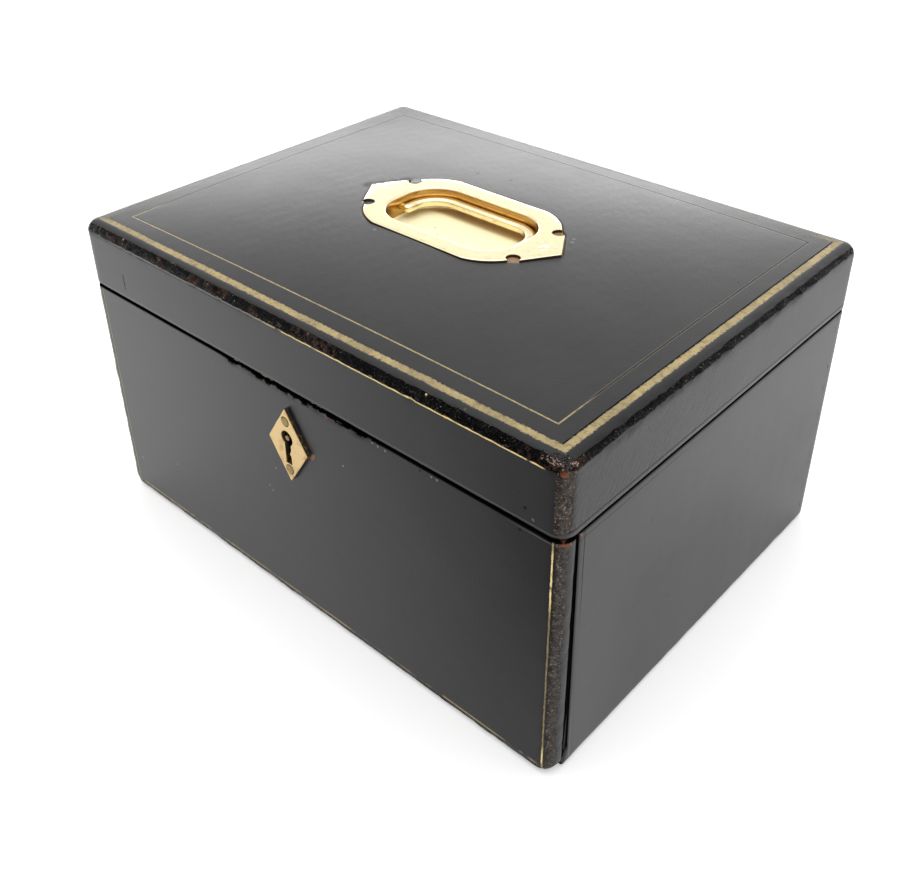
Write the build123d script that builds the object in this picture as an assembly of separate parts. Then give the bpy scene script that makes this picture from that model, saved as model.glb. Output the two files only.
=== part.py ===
from build123d import *
import math
import os

# Antique leather covered jewellery box, in millimetres.
# The origin is the middle of the underside. +X runs along the front to the right, -Y is the
# front and +Z is up. The box is shown shut, with the handle lying in its recess.

# The outer form
width = 300
depth = 228
base_height = 129.2
seam_gap = 0.6
lid_height = 35.2
crown = 7
corner_radius = 7
top_radius = 6.2
bottom_radius = 3.5
lip = 1.2
leather = 1.2
foot_drop = 0.3
wall = 8
skin_lap = 14

# The falling front and its slit
flap_thickness = 8.3
flap_corner_radius = 8
slit_top = 1.0
slit_bottom = 2.8
slit_kink = 12
toe_gap = 0.8

# Boards and fittings inside the base
floor_board = 5.9
drawer_bed = 5.8
shelf = 4
shelf_height = 84
interior_gap = 2.5
lining = 0.8
partition = 4
partition_drop = 5
compartment_count = 3
ring_tray_depth = 62
roll_count = 5
roll_gap = 0.6
roll_margin = 1

# The two drawers
drawer_setback = 9.2
drawer_clearance = 0.5
drawer_front = 8
drawer_wall = 6
drawer_bottom = 3
drawer_groove = 3
drawer_bottom_rise = 3
drawer_side_drop = 3
dovetail_lap = 5
dovetail_count = 2
dovetail_width = 8
dovetail_flare = 1.2
knob_diameter = 9
knob_reach = 6
knob_head = 3.6
knob_bevel = 1.2
knob_neck = 4.5
knob_spigot = 5

# The lid
lid_board = 8
pad_thickness = 6
pad_crown = 2.5
pad_margin = 3

# The lining panel on the inside of the falling front
panel_margin_side = 13
panel_margin_top = 9
panel_margin_bottom = 14
panel_crown = 1
panel_edge = 0.9

# The flush handle
plate_length = 124
plate_width = 63.5
plate_thickness = 1.5
plate_flat = 57
plate_notch_x = 46.5
plate_notch_y = 17.1
plate_notch_radius = 3
plate_shoulder_x = 50.8
plate_shoulder_y = 16.8
plate_sweep = 1.5
plate_sink = 0.8
recess_length = 78
recess_width = 45
recess_radius = 18.5
recess_depth = 10.5
recess_wall = 1.6
recess_taper = 4
bail_gap = 1.3
bail_width = 5
bail_thickness = 4
bail_depth = 3.9
bail_edge = 1.2
journal_radius = 1.5
journal_share = 0.5
running_gap = 0.05
rivet_radius = 2.5
rivet_offset = 50.5
rivet_length = 7

# The lock in the falling front
lock_width = 62
lock_height = 42
lock_sheet = 1
claw_pivot_spread = 31
claw_pivot_drop = 8.7
claw_outer_radius = 14
claw_inner_radius = 11
claw_hub_radius = 4
claw_pin_radius = 1.2
claw_thickness = 2.2
claw_out_angle = 80
claw_swing = 72
claw_arc = 78
claw_web_angle = 28
claw_web_lap = 14
claw_web_inner = 2.4
selvedge_length = 74
selvedge_width = 5.4
slot_play = 0.5
pocket_play = 0.8

# The keyhole plate
escutcheon_width = 26
escutcheon_height = 40
escutcheon_thickness = 2.2
escutcheon_drop = 28.9
keyhole_radius = 3.8
keyhole_rise = 4.1
keyhole_slot = 4
keyhole_drop = 10.1
keyhole_play = 0.5
escutcheon_pin_offset = 13.2
escutcheon_pin_radius = 0.9
escutcheon_pin_head = 2.25
escutcheon_pin_rise = 0.5
escutcheon_pin_length = 2
drill_pin_radius = 1.25
drill_pin_reach = 8

# The lid's two hinges
lid_hinge_spread = 190
lid_hinge_length = 30
lid_hinge_inset = 2.6
lid_hinge_radius = 2.2
lid_hinge_pin = 0.8
lid_leaf_width = 6
lid_swing = 95
stop_play = 2

# The falling front's two hinges
flap_hinge_spread = 190
flap_hinge_length = 26
flap_hinge_radius = 2.95
flap_hinge_pin = 0.9
flap_leaf_thickness = 1.3
flap_fixed_width = 16
flap_moving_width = 14
knuckle_gap = 0.25
knuckle_play = 0.4

# Levels and faces that follow from the sizes above
half_width = width / 2
half_depth = depth / 2
lid_low = base_height + seam_gap
lid_edge = lid_low + lid_height
over_top = lid_edge + 2 * crown
ceiling = lid_edge - lid_board
inner_x = half_width - leather - wall
inner_back = half_depth - leather - wall
flap_back = flap_thickness - half_depth
flap_axis_y = flap_back - flap_thickness / 2
flap_axis_z = foot_drop + flap_thickness / 2
inner_front = flap_back + interior_gap
floor_top = foot_drop + leather + floor_board
bed_top = floor_top + drawer_bed
opening_height = (shelf_height - bed_top - shelf) / 2
shelf_top = shelf_height + shelf
lid_axis_y = half_depth - lid_hinge_inset
lid_axis_z = base_height + seam_gap / 2
escutcheon_centre = base_height - escutcheon_drop


def block(x0, x1, y0, y1, z0, z1):
    """A square-cornered block between two opposite corners."""
    middle = Pos((x0 + x1) / 2, (y0 + y1) / 2, (z0 + z1) / 2)
    return middle * Box(x1 - x0, y1 - y0, z1 - z0)


def rounded_block(inset, low, high):
    """The box's plan, drawn in by an inset, with its four upright corners rounded."""
    plan = RectangleRounded(width - 2 * inset, depth - 2 * inset, corner_radius - inset)
    return extrude(Pos(0, 0, low) * plan, high - low)


def rod(radius, x0, x1, y, z):
    """A round bar along X."""
    return Pos((x0 + x1) / 2, y, z) * Rot(0, 90, 0) * Cylinder(radius, x1 - x0)


def plug(radius, x, y0, y1, z):
    """A round bar along Y."""
    return Pos(x, (y0 + y1) / 2, z) * Rot(90, 0, 0) * Cylinder(radius, y1 - y0)


def along_x(outline, length):
    """A solid whose section in the YZ plane is the outline, centred on the box's width."""
    return extrude(Plane.YZ * outline, length / 2, both=True)


def along_y(outline, y0, y1):
    """A solid whose section seen from the front is the outline, between two depths."""
    return extrude(Plane((0, y1, 0), x_dir=(1, 0, 0), z_dir=(0, -1, 0)) * outline, y1 - y0)


def soften(edges, radius, inset):
    """Rounds the leather's outer edges; the boards under it have a bevel that touches the same round."""
    if inset == 0:
        return fillet(edges, radius)
    return chamfer(edges, (radius - inset) * (2 - math.sqrt(2)))


def case_outline(inset):
    """The base's side view behind the slit: a slanted front edge with a toe under the flap's roll."""
    reach = flap_thickness / 2 + toe_gap + inset
    low = foot_drop + inset
    toe_y = flap_axis_y + math.sqrt(reach**2 - (flap_axis_z - low) ** 2)
    heel_y = flap_axis_y + reach
    turn = math.atan2(flap_axis_z - low, toe_y - flap_axis_y) / 2
    middle = (flap_axis_y + reach * math.cos(turn), flap_axis_z - reach * math.sin(turn))
    toe = ThreePointArc((toe_y, low), middle, (heel_y, flap_axis_z))
    rest = Polyline(
        (heel_y, flap_axis_z),
        (flap_back + slit_bottom + inset, slit_kink),
        (flap_back + slit_top + inset, base_height - inset),
        (half_depth, base_height - inset),
        (half_depth, low),
        (toe_y, low),
    )
    return make_face(toe + rest)


def stop_bevel(inset, side):
    """The wedge cut off a back edge, which stops the lid; side is -1 on the base and 1 on the lid."""
    slope = math.radians(lid_swing / 2 + stop_play)
    reach = lid_hinge_inset + leather
    shift_y = -inset * math.sin(slope)
    shift_z = inset * math.cos(slope) * side
    wedge = Polyline(
        (lid_axis_y + shift_y, lid_axis_z + shift_z),
        (lid_axis_y + reach, lid_axis_z + shift_z + side * reach * math.tan(slope)),
        (lid_axis_y + reach, lid_axis_z - side * seam_gap),
        (lid_axis_y + shift_y, lid_axis_z - side * seam_gap),
        close=True,
    )
    return along_x(make_face(wedge), width)


def lid_knuckle_space():
    """The round grooves that clear the knuckles of the lid's hinges."""
    spaces = []
    for x in (-lid_hinge_spread / 2, lid_hinge_spread / 2):
        reach = lid_hinge_length / 2 + knuckle_gap
        spaces.append(rod(lid_hinge_radius + knuckle_play, x - reach, x + reach, lid_axis_y, lid_axis_z))
    return spaces


def base_form(inset):
    """The base behind the slit, as one solid, drawn in by an inset."""
    form = rounded_block(inset, foot_drop + inset, base_height - inset)
    form = soften(form.edges().group_by(Axis.Z)[0], bottom_radius, inset)
    if lip > inset:
        form = chamfer(form.edges().group_by(Axis.Z)[-1], lip - inset)
    form = form & along_x(case_outline(inset), width)
    return form - stop_bevel(inset, -1) - lid_knuckle_space()


def lid_form(inset):
    """The lid as one solid with its pillowed top, drawn in by an inset."""
    edge = lid_edge - inset
    form = rounded_block(inset, lid_low + inset, edge)
    form = soften(form.edges().group_by(Axis.Z)[-1], top_radius, inset)
    if lip > inset:
        form = chamfer(form.edges().group_by(Axis.Z)[0], lip - inset)
    half_x = half_width - top_radius
    half_y = half_depth - top_radius
    # A biquadratic patch rises to a quarter of its middle control point's height.
    net = []
    for i in (-1, 0, 1):
        row = []
        for j in (-1, 0, 1):
            lift = 4 * crown if i == 0 and j == 0 else 0
            row.append(Vector(i * half_x, j * half_y, edge + lift))
        net.append(row)
    pillow = extrude(Face.make_bezier_surface(net), amount=over_top - edge, dir=(0, 0, -1))
    return form + pillow - stop_bevel(inset, 1) - lid_knuckle_space()


def flap_form(inset):
    """The falling front as one solid, drawn in by an inset: a slab whose foot is a half round."""
    reach = flap_thickness / 2 - inset
    top = base_height - inset
    low = flap_axis_z - reach
    front = flap_axis_y - reach
    back = flap_axis_y + reach
    foot = ThreePointArc((front, flap_axis_z), (flap_axis_y, low), (back, flap_axis_z))
    sides = Polyline((back, flap_axis_z), (back, top), (front, top), (front, flap_axis_z))
    section = make_face(foot + sides)
    outline = Pos(0, (low + top) / 2) * Rectangle(width - 2 * inset, top - low)
    outline = fillet(outline.vertices().group_by(Axis.Y)[0], flap_corner_radius - inset)
    if lip > inset:
        section = chamfer(section.vertices().group_by(Axis.Y)[-1], lip - inset)
        outline = chamfer(outline.vertices().group_by(Axis.Y)[-1], lip - inset)
    slab = along_x(section, width - 2 * inset)
    return slab & rounded_block(inset, 0, base_height) & along_y(outline, -half_depth, flap_back)


def butt_leaf(length, leaf_width, offset, thickness, radius, pin, outer):
    """Half of a butt hinge about X at the origin, its leaf lying towards -Y below the pin's line.

    outer says that it carries the two end knuckles, otherwise it carries the middle one.
    """
    third = length / 3
    ends = [(-length / 2, -third / 2 - knuckle_gap / 2), (third / 2 + knuckle_gap / 2, length / 2)]
    middle = [(-third / 2 + knuckle_gap / 2, third / 2 - knuckle_gap / 2)]
    own = ends if outer else middle
    other = middle if outer else ends
    leaf = block(-length / 2, length / 2, -leaf_width, 0, -offset - thickness, -offset)
    clear = radius + knuckle_gap
    for x0, x1 in other:
        leaf -= block(x0 - knuckle_gap, x1 + knuckle_gap, -clear, clear, -clear, clear)
    for x0, x1 in own:
        leaf += rod(radius, x0, x1, 0, 0)
    return leaf - rod(pin + running_gap, -length, length, 0, 0)


def pair(shape, spread):
    """Two copies of a piece, half the spread to the left and right of the middle."""
    return Compound(children=[Pos(-spread / 2, 0, 0) * shape, Pos(spread / 2, 0, 0) * shape])


def lid_hinges():
    """The lid's butt hinges: lower leaves on the base, upper leaves on the lid, and their pins."""
    offset = seam_gap / 2
    sizes = (lid_hinge_length, lid_leaf_width, offset, leather, lid_hinge_radius, lid_hinge_pin)
    lower = butt_leaf(*sizes, True)
    upper = mirror(butt_leaf(*sizes, False), Plane.XY)
    pin = rod(lid_hinge_pin, -lid_hinge_length / 2, lid_hinge_length / 2, 0, 0)
    place = Pos(0, lid_axis_y, lid_axis_z)
    return [pair(place * piece, lid_hinge_spread) for piece in (lower, upper, pin)]


def flap_hinges():
    """The falling front's butt hinges: fixed leaves on the floor, moving leaves on the flap, pins."""
    offset = flap_hinge_radius - flap_leaf_thickness
    sizes = (offset, flap_leaf_thickness, flap_hinge_radius, flap_hinge_pin)
    fixed = Rot(180, 0, 0) * butt_leaf(flap_hinge_length, flap_fixed_width, *sizes, True)
    upright = mirror(butt_leaf(flap_hinge_length, flap_moving_width, *sizes, False), Plane.XY)
    moving = Rot(-90, 0, 0) * upright
    pin = rod(flap_hinge_pin, -flap_hinge_length / 2, flap_hinge_length / 2, 0, 0)
    place = Pos(0, flap_axis_y, flap_axis_z)
    return [pair(place * piece, flap_hinge_spread) for piece in (fixed, moving, pin)]


def flap_hinge_space():
    """What the flap's hinges need cleared in the flap: the knuckle's round and the fixed leaf's swing."""
    spaces = []
    reach = flap_hinge_length / 2 + knuckle_gap
    radius = flap_hinge_radius + knuckle_play
    for x in (-flap_hinge_spread / 2, flap_hinge_spread / 2):
        spaces.append(rod(radius, x - reach, x + reach, flap_axis_y, flap_axis_z))
        swing_back = flap_axis_y + flap_thickness
        swing_low = flap_axis_z - flap_thickness
        swing_high = flap_axis_z + radius
        spaces.append(block(x - reach, x + reach, flap_axis_y, swing_back, swing_low, swing_high))
    return spaces


def flap_leaf_recess():
    """The shallow recess in the flap's board under each moving leaf."""
    spaces = []
    reach = flap_hinge_length / 2
    near = flap_axis_y + flap_hinge_radius - flap_leaf_thickness
    high = flap_axis_z + flap_moving_width
    for x in (-flap_hinge_spread / 2, flap_hinge_spread / 2):
        spaces.append(block(x - reach, x + reach, near, flap_back, flap_axis_z, high))
    return spaces


def floor_leaf_recess():
    """The shallow recess in the floor's top under each fixed leaf."""
    spaces = []
    reach = flap_hinge_length / 2
    low = flap_axis_z + flap_hinge_radius - flap_leaf_thickness
    back = flap_axis_y + flap_fixed_width
    for x in (-flap_hinge_spread / 2, flap_hinge_spread / 2):
        spaces.append(block(x - reach, x + reach, flap_back, back, low, floor_top))
    return spaces


def lid_leaf_recess(side):
    """The recess in a rim's leather under each leaf; side is -1 on the base and 1 on the lid."""
    spaces = []
    reach = lid_hinge_length / 2
    near = lid_axis_z + side * seam_gap / 2
    far = near + side * leather
    for x in (-lid_hinge_spread / 2, lid_hinge_spread / 2):
        front = lid_axis_y - lid_leaf_width
        low = min(near, far)
        high = max(near, far)
        spaces.append(block(x - reach, x + reach, front, lid_axis_y, low, high))
    return spaces


def case_pieces():
    """The base's boards, its leather and the cloth under it."""
    core = base_form(leather)
    hollow = block(-inner_x, inner_x, -half_depth, inner_back, floor_top, base_height)
    window_x = half_width - skin_lap
    window_y = half_depth - skin_lap
    window = block(-window_x, window_x, -window_y, window_y, 0, foot_drop + leather)
    below = block(-half_width, half_width, -half_depth, half_depth, 0, floor_top)
    side_span = block(-half_width, -inner_x, -half_depth, inner_back, floor_top, base_height)
    back_span = block(-half_width, half_width, inner_back, half_depth, floor_top, base_height)
    skin = base_form(0) - core - hollow - window - lid_leaf_recess(-1)
    return {
        "case_leather": skin - floor_leaf_recess(),
        "case_floor": (core & below) - floor_leaf_recess(),
        "case_left_side": core & side_span,
        "case_right_side": core & mirror(side_span, Plane.YZ),
        "case_back": core & back_span,
        "base_baize": window,
    }


def interior_pieces():
    """The fixed boards between the drawers, and the open compartment above them."""
    front = inner_front
    divider_low = bed_top + opening_height
    bed = block(-inner_x, inner_x, front + slit_bottom, inner_back, floor_top, bed_top)
    divider = block(-inner_x, inner_x, front, inner_back, divider_low, divider_low + shelf)
    top_shelf = block(-inner_x, inner_x, front, inner_back, shelf_height, shelf_top)
    front_wall = block(-inner_x, inner_x, front, front + wall, shelf_top, base_height - leather)
    tray_front = front + wall
    room = block(-inner_x, inner_x, tray_front, inner_back, shelf_top, base_height - leather)
    inside = block(
        lining - inner_x,
        inner_x - lining,
        tray_front + lining,
        inner_back - lining,
        shelf_top + lining,
        base_height,
    )
    return {
        "drawer_bed": bed,
        "drawer_divider": divider,
        "dust_board": top_shelf,
        "compartment_front": front_wall,
        "compartment_lining": room - inside,
        "compartment_partitions": partitions(tray_front + lining, inner_back - lining),
        "ring_rolls": ring_rolls(tray_front + lining),
    }


def partitions(front, back):
    """The velvet partitions: a long one behind the ring rolls and short ones in the space behind it."""
    low = shelf_top + lining
    high = base_height - partition_drop
    reach = inner_x - lining
    long_front = front + ring_tray_depth
    walls = block(-reach, reach, long_front, long_front + partition, low, high)
    pitch = 2 * reach / compartment_count
    for i in range(1, compartment_count):
        x = i * pitch - reach
        walls += block(x - partition / 2, x + partition / 2, long_front + partition / 2, back, low, high)
    return walls


def ring_rolls(front):
    """Padded rolls that grip rings between them, each a flat-footed bar with a rounded back."""
    low = shelf_top + lining
    pitch = ring_tray_depth / roll_count
    half = pitch / 2 - roll_gap / 2
    reach = inner_x - lining - roll_margin
    rise = base_height - partition_drop - low - pitch
    section = make_face(
        Polyline((half, rise), (half, 0), (-half, 0), (-half, rise))
        + ThreePointArc((-half, rise), (0, rise + half), (half, rise))
    )
    roll = along_x(section, 2 * reach)
    rolls = []
    for i in range(roll_count):
        rolls.append(Pos(0, front + pitch * (i + 0.5), low) * roll)
    return Compound(children=rolls)


def tails(side, y_root, low, high):
    """Dovetails on a drawer side's front end, flaring towards the front."""
    shapes = []
    pitch = (high - low) / dovetail_count
    for i in range(dovetail_count):
        z = low + pitch * (i + 0.5)
        root = dovetail_width / 2
        tip = root + dovetail_flare
        outline = Polyline(
            (y_root, z - root),
            (y_root, z + root),
            (y_root - dovetail_lap, z + tip),
            (y_root - dovetail_lap, z - tip),
            close=True,
        )
        x_outer = side * (inner_x - drawer_clearance)
        x_inner = side * (inner_x - drawer_clearance - drawer_wall)
        slab = along_x(make_face(outline), drawer_wall)
        shapes.append(Pos((x_outer + x_inner) / 2, 0, 0) * slab)
    return shapes


def knob():
    """A small turned brass knob that faces the front, with a spigot that seats in the drawer front."""
    head = plug(knob_diameter / 2, 0, -knob_reach, -knob_reach + knob_head, 0)
    head = chamfer(head.edges().group_by(Axis.Y)[0], knob_bevel)
    return head + plug(knob_neck / 2, 0, -knob_reach + knob_head, knob_spigot, 0)


def drawer(name, low):
    """One drawer standing on a bed at the height low, as separate boards, lining and knob."""
    front = flap_back + drawer_setback
    x = inner_x - drawer_clearance
    z0 = low + drawer_clearance
    z1 = low + opening_height - drawer_clearance
    back = inner_back - drawer_clearance
    root = front + drawer_front
    side_top = z1 - drawer_side_drop
    bottom_low = z0 + drawer_bottom_rise
    bottom_high = bottom_low + drawer_bottom
    panel = block(
        drawer_groove - x, x - drawer_groove, root, back - drawer_groove, bottom_low, bottom_high
    )
    joints = {side: tails(side, root, z0, side_top) for side in (-1, 1)}
    face = block(-x, x, front, root, z0, z1) - joints[-1] - joints[1]
    knob_z = (z0 + z1) / 2
    pull = Pos(0, front, knob_z) * knob()
    face -= pull
    pieces = {name + "_front": face}
    for side, word in ((-1, "left"), (1, "right")):
        x0, x1 = sorted((side * x, side * (x - drawer_wall)))
        board = block(x0, x1, root, back, z0, side_top)
        pieces[name + "_" + word + "_side"] = board + joints[side] - panel
    tail_board = block(drawer_wall - x, x - drawer_wall, back - drawer_wall, back, z0, side_top)
    pieces[name + "_back"] = tail_board - panel
    pieces[name + "_bottom"] = panel
    in_x = x - drawer_wall
    in_back = back - drawer_wall
    outer = block(-in_x, in_x, root, in_back, bottom_high, side_top)
    inner = block(
        lining - in_x, in_x - lining, root + lining, in_back - lining, bottom_high + lining, z1
    )
    pieces[name + "_lining"] = outer - inner
    pieces[name + "_knob"] = pull
    return pieces


def plate_half_outline():
    """The handle plate's edge in the first quarter: a pointed tip, a notch, a swept shoulder."""
    tip = (plate_length / 2, 0)
    shoulder = (plate_shoulder_x, plate_shoulder_y)
    notch_in = (plate_notch_x, plate_notch_y + plate_notch_radius)
    turn = plate_notch_radius * math.sqrt(0.5)
    notch_mid = (plate_notch_x - turn, plate_notch_y - turn)
    flat = (plate_flat / 2, plate_width / 2)
    sweep_mid = (
        (notch_in[0] + flat[0]) / 2 + plate_sweep,
        (notch_in[1] + flat[1]) / 2 + plate_sweep,
    )
    return (
        Line(tip, shoulder)
        + ThreePointArc(shoulder, notch_mid, notch_in)
        + ThreePointArc(notch_in, sweep_mid, flat)
        + Line(flat, (0, plate_width / 2))
    )


def plate_outline():
    """The whole edge of the handle plate, mirrored from its first quarter."""
    quarter = plate_half_outline()
    half = quarter + mirror(quarter, Plane.YZ)
    return make_face(half + mirror(half, Plane.XZ))


def recess_form(grow, top, low, taper):
    """The recess, grown by a wall, from its mouth down to a level."""
    mouth = RectangleRounded(
        recess_length + 2 * grow, recess_width + 2 * grow, recess_radius + grow
    )
    return extrude(Pos(0, 0, top) * mouth, amount=low - top, taper=taper)


def plate_top():
    """The level of the handle plate's face."""
    return lid_edge + crown - plate_sink


def bail_axis():
    """The height of the line that the handle swings about."""
    return plate_top() - bail_depth - bail_thickness / 2


def journal(side, gap):
    """The handle's turned end pin, which runs in a hole through the recess's end wall."""
    start = recess_length / 2 - bail_gap - bail_width
    end = recess_length / 2 + recess_wall * journal_share + gap
    x0, x1 = sorted((side * start, side * end))
    return rod(journal_radius + gap, x0, x1, 0, bail_axis())


def handle_pieces():
    """The flush handle: a plate cast with its tapered recess, a swinging bail and two rivets."""
    top = plate_top()
    plate = extrude(Pos(0, 0, top - plate_thickness) * plate_outline(), plate_thickness)
    low = top - recess_depth
    cup = recess_form(recess_wall, top, low - recess_wall, 0)
    mouth = recess_form(0, top, low, recess_taper)
    plate = plate + cup - mouth
    plate = plate - journal(-1, running_gap) - journal(1, running_gap)
    rivets = handle_rivets()
    plate = plate - rivets
    outer = RectangleRounded(
        recess_length - 2 * bail_gap, recess_width - 2 * bail_gap, recess_radius - bail_gap
    )
    shrink = bail_gap + bail_width
    inner = RectangleRounded(
        recess_length - 2 * shrink, recess_width - 2 * shrink, recess_radius - shrink
    )
    back_half = Pos(0, recess_width / 2) * Rectangle(recess_length, recess_width)
    hoop = (outer - inner) & back_half
    eye_x = recess_length / 2 - bail_gap - bail_width / 2
    for side in (-1, 1):
        hoop += Pos(side * eye_x, 0) * Circle(bail_width / 2)
    bar = extrude(Pos(0, 0, bail_axis() - bail_thickness / 2) * hoop, bail_thickness)
    bar = chamfer(bar.edges().group_by(Axis.Z)[-1], bail_edge)
    bail = bar + journal(-1, 0) + journal(1, 0)
    return plate, Compound(children=rivets), bail


def handle_room(outline):
    """The space for the handle plate, its recess and its rivets in a layer of the lid."""
    top = plate_top()
    low = top - plate_thickness
    plate = extrude(Pos(0, 0, low) * outline, over_top - low)
    cup = recess_form(recess_wall, top, top - recess_depth - recess_wall, 0)
    return [plate, cup] + handle_rivets()


def handle_rivets():
    """The two round rivets, flush with the handle plate, that fix it to the board."""
    rivets = []
    for side in (-1, 1):
        place = Pos(side * rivet_offset, 0, plate_top() - rivet_length / 2)
        rivets.append(place * Cylinder(rivet_radius, rivet_length))
    return rivets


def claw_pivot():
    """Where the right claw's pivot stands, seen from the front."""
    return claw_pivot_spread / 2, base_height - claw_pivot_drop


def rim_block(half_length, low, high):
    """A bar along the middle of the flap's rim, which the lock's plates fill."""
    reach = selvedge_width / 2
    return block(-half_length, half_length, flap_axis_y - reach, flap_axis_y + reach, low, high)


def lock_cavity():
    """The front and back of the space between the lock's two sheets."""
    front = -half_depth + leather + 2 * lock_sheet
    back = flap_back - leather - lock_sheet
    return front, back


def sector(outer, inner, start, end):
    """A ring sector between two angles, in degrees, as a face about the origin."""
    middle = math.radians((start + end) / 2)
    a0 = math.radians(start)
    a1 = math.radians(end)

    def at(radius, angle):
        return (radius * math.cos(angle), radius * math.sin(angle))

    return make_face(
        ThreePointArc(at(outer, a0), at(outer, middle), at(outer, a1))
        + Line(at(outer, a1), at(inner, a1))
        + ThreePointArc(at(inner, a1), at(inner, middle), at(inner, a0))
        + Line(at(inner, a0), at(outer, a0))
    )


def claw(side):
    """A hook curved about its pivot, drawn in; it swings out of the lock and over the lid's plate."""
    hook_tip = claw_out_angle + claw_swing
    hook_end = hook_tip + claw_arc
    hook = sector(claw_outer_radius, claw_inner_radius, hook_tip, hook_end)
    web = sector(claw_outer_radius, claw_web_inner, hook_end - claw_web_lap, hook_end + claw_web_angle)
    shape = hook + web + Circle(claw_hub_radius) - Circle(claw_pin_radius + running_gap)
    front, back = lock_cavity()
    middle = (front + back) / 2
    x, z = claw_pivot()
    right = along_y(Pos(x, z) * shape, middle - claw_thickness / 2, middle + claw_thickness / 2)
    return right if side == 1 else mirror(right, Plane.YZ)


def slot_span(level_low, level_high, play):
    """The part of the hook's circle that passes between two levels, as distances from the pivot."""
    inner = math.sqrt(claw_inner_radius**2 - level_high**2)
    outer = math.sqrt(claw_outer_radius**2 - level_low**2)
    return outer + play, inner - play


def claw_slots(low, high, front, back):
    """The two slots that the hooks pass through in a plate between two heights."""
    x, z = claw_pivot()
    far, near = slot_span(low - z, high - z, slot_play)
    right = block(x - far, x - near, front, back, low, high)
    return [right, mirror(right, Plane.YZ)]


def keyhole(grow):
    """The keyhole's outline: a round head over a straight slot."""
    head_z = escutcheon_centre + keyhole_rise
    foot_z = escutcheon_centre - keyhole_drop
    head = Pos(0, head_z) * Circle(keyhole_radius + grow)
    slot_width = keyhole_slot + 2 * grow
    slot = Pos(0, (head_z + foot_z) / 2 - grow / 2) * Rectangle(slot_width, head_z - foot_z + grow)
    return head + slot


def lock_pieces():
    """The box lock: a sheet case with two pivots, its cover, the plate on the rim, the drill pin."""
    top = base_height - leather
    low = top - lock_height
    front, back = lock_cavity()
    half = lock_width / 2
    shell = block(-half, half, front - lock_sheet, back, low, top)
    room = block(lock_sheet - half, half - lock_sheet, front, back, low + lock_sheet, top)
    case = shell - room
    pivot_x, pivot_z = claw_pivot()
    for side in (-1, 1):
        case += plug(claw_pin_radius, side * pivot_x, front - lock_sheet / 2, back, pivot_z)
    case -= along_y(keyhole(keyhole_play), front - lock_sheet, front)
    cover = block(-half, half, back, back + lock_sheet, low, top)
    selvedge = rim_block(selvedge_length / 2, top, base_height)
    selvedge -= claw_slots(top, base_height, front, back)
    drill_z = escutcheon_centre + keyhole_rise
    drill = plug(drill_pin_radius, 0, back - drill_pin_reach, back, drill_z)
    return case, cover, selvedge, drill


def striker_pieces():
    """The plate that the claws hook over, set in the lid's rim, and the pocket above it."""
    front, back = lock_cavity()
    recess = rim_block(selvedge_length / 2, lid_low, lid_low + leather)
    plate = recess - claw_slots(lid_low, lid_low + leather, front, back)
    pivot_x, pivot_z = claw_pivot()
    reach = pivot_x + claw_outer_radius + pocket_play
    high = pivot_z + claw_outer_radius + pocket_play
    pocket = block(-reach, reach, front, back, lid_low + leather, high)
    return plate, recess, pocket


def escutcheon_pieces():
    """The rhombus keyhole plate on the leather and its two round-headed pins."""
    half_x = escutcheon_width / 2
    half_z = escutcheon_height / 2
    outline = Polyline((half_x, 0), (0, half_z), (-half_x, 0), (0, -half_z), close=True)
    rhombus = Pos(0, escutcheon_centre) * make_face(outline)
    face = -half_depth - escutcheon_thickness
    plate = along_y(rhombus - keyhole(0), face, -half_depth)
    pins = []
    for side in (-1, 1):
        z = escutcheon_centre + side * escutcheon_pin_offset
        shank = plug(escutcheon_pin_radius, 0, face, -half_depth + escutcheon_pin_length, z)
        plate -= shank
        pins.append(shank + plug(escutcheon_pin_head, 0, face - escutcheon_pin_rise, face, z))
    return plate, Compound(children=pins)


def flap_pieces():
    """The falling front's board, leather and lining panel, with room for the lock and hinges."""
    top = base_height - leather
    front, back = lock_cavity()
    half = lock_width / 2
    lock_room = block(-half, half, front - lock_sheet, back + lock_sheet, top - lock_height, top)
    rim_room = rim_block(selvedge_length / 2, top, base_height)
    key_room = along_y(keyhole(keyhole_play), -half_depth, front)
    pin_rooms = []
    for side in (-1, 1):
        z = escutcheon_centre + side * escutcheon_pin_offset
        end = -half_depth + escutcheon_pin_length
        pin_rooms.append(plug(escutcheon_pin_radius, 0, -half_depth, end, z))
    spaces = flap_hinge_space() + [key_room] + pin_rooms
    core = flap_form(leather)
    panel_x = half_width - panel_margin_side
    panel_low = foot_drop + panel_margin_bottom
    panel_high = base_height - panel_margin_top
    window = block(-panel_x, panel_x, flap_back - leather, flap_back, panel_low, panel_high)
    board = core - spaces - flap_leaf_recess() - lock_room
    skin = flap_form(0) - core - window - spaces - rim_room
    raised = block(
        -panel_x, panel_x, flap_back - leather, flap_back + panel_crown, panel_low, panel_high
    )
    raised = fillet(raised.faces().sort_by(Axis.Y)[-1].edges(), panel_edge)
    return board, skin, raised


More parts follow.
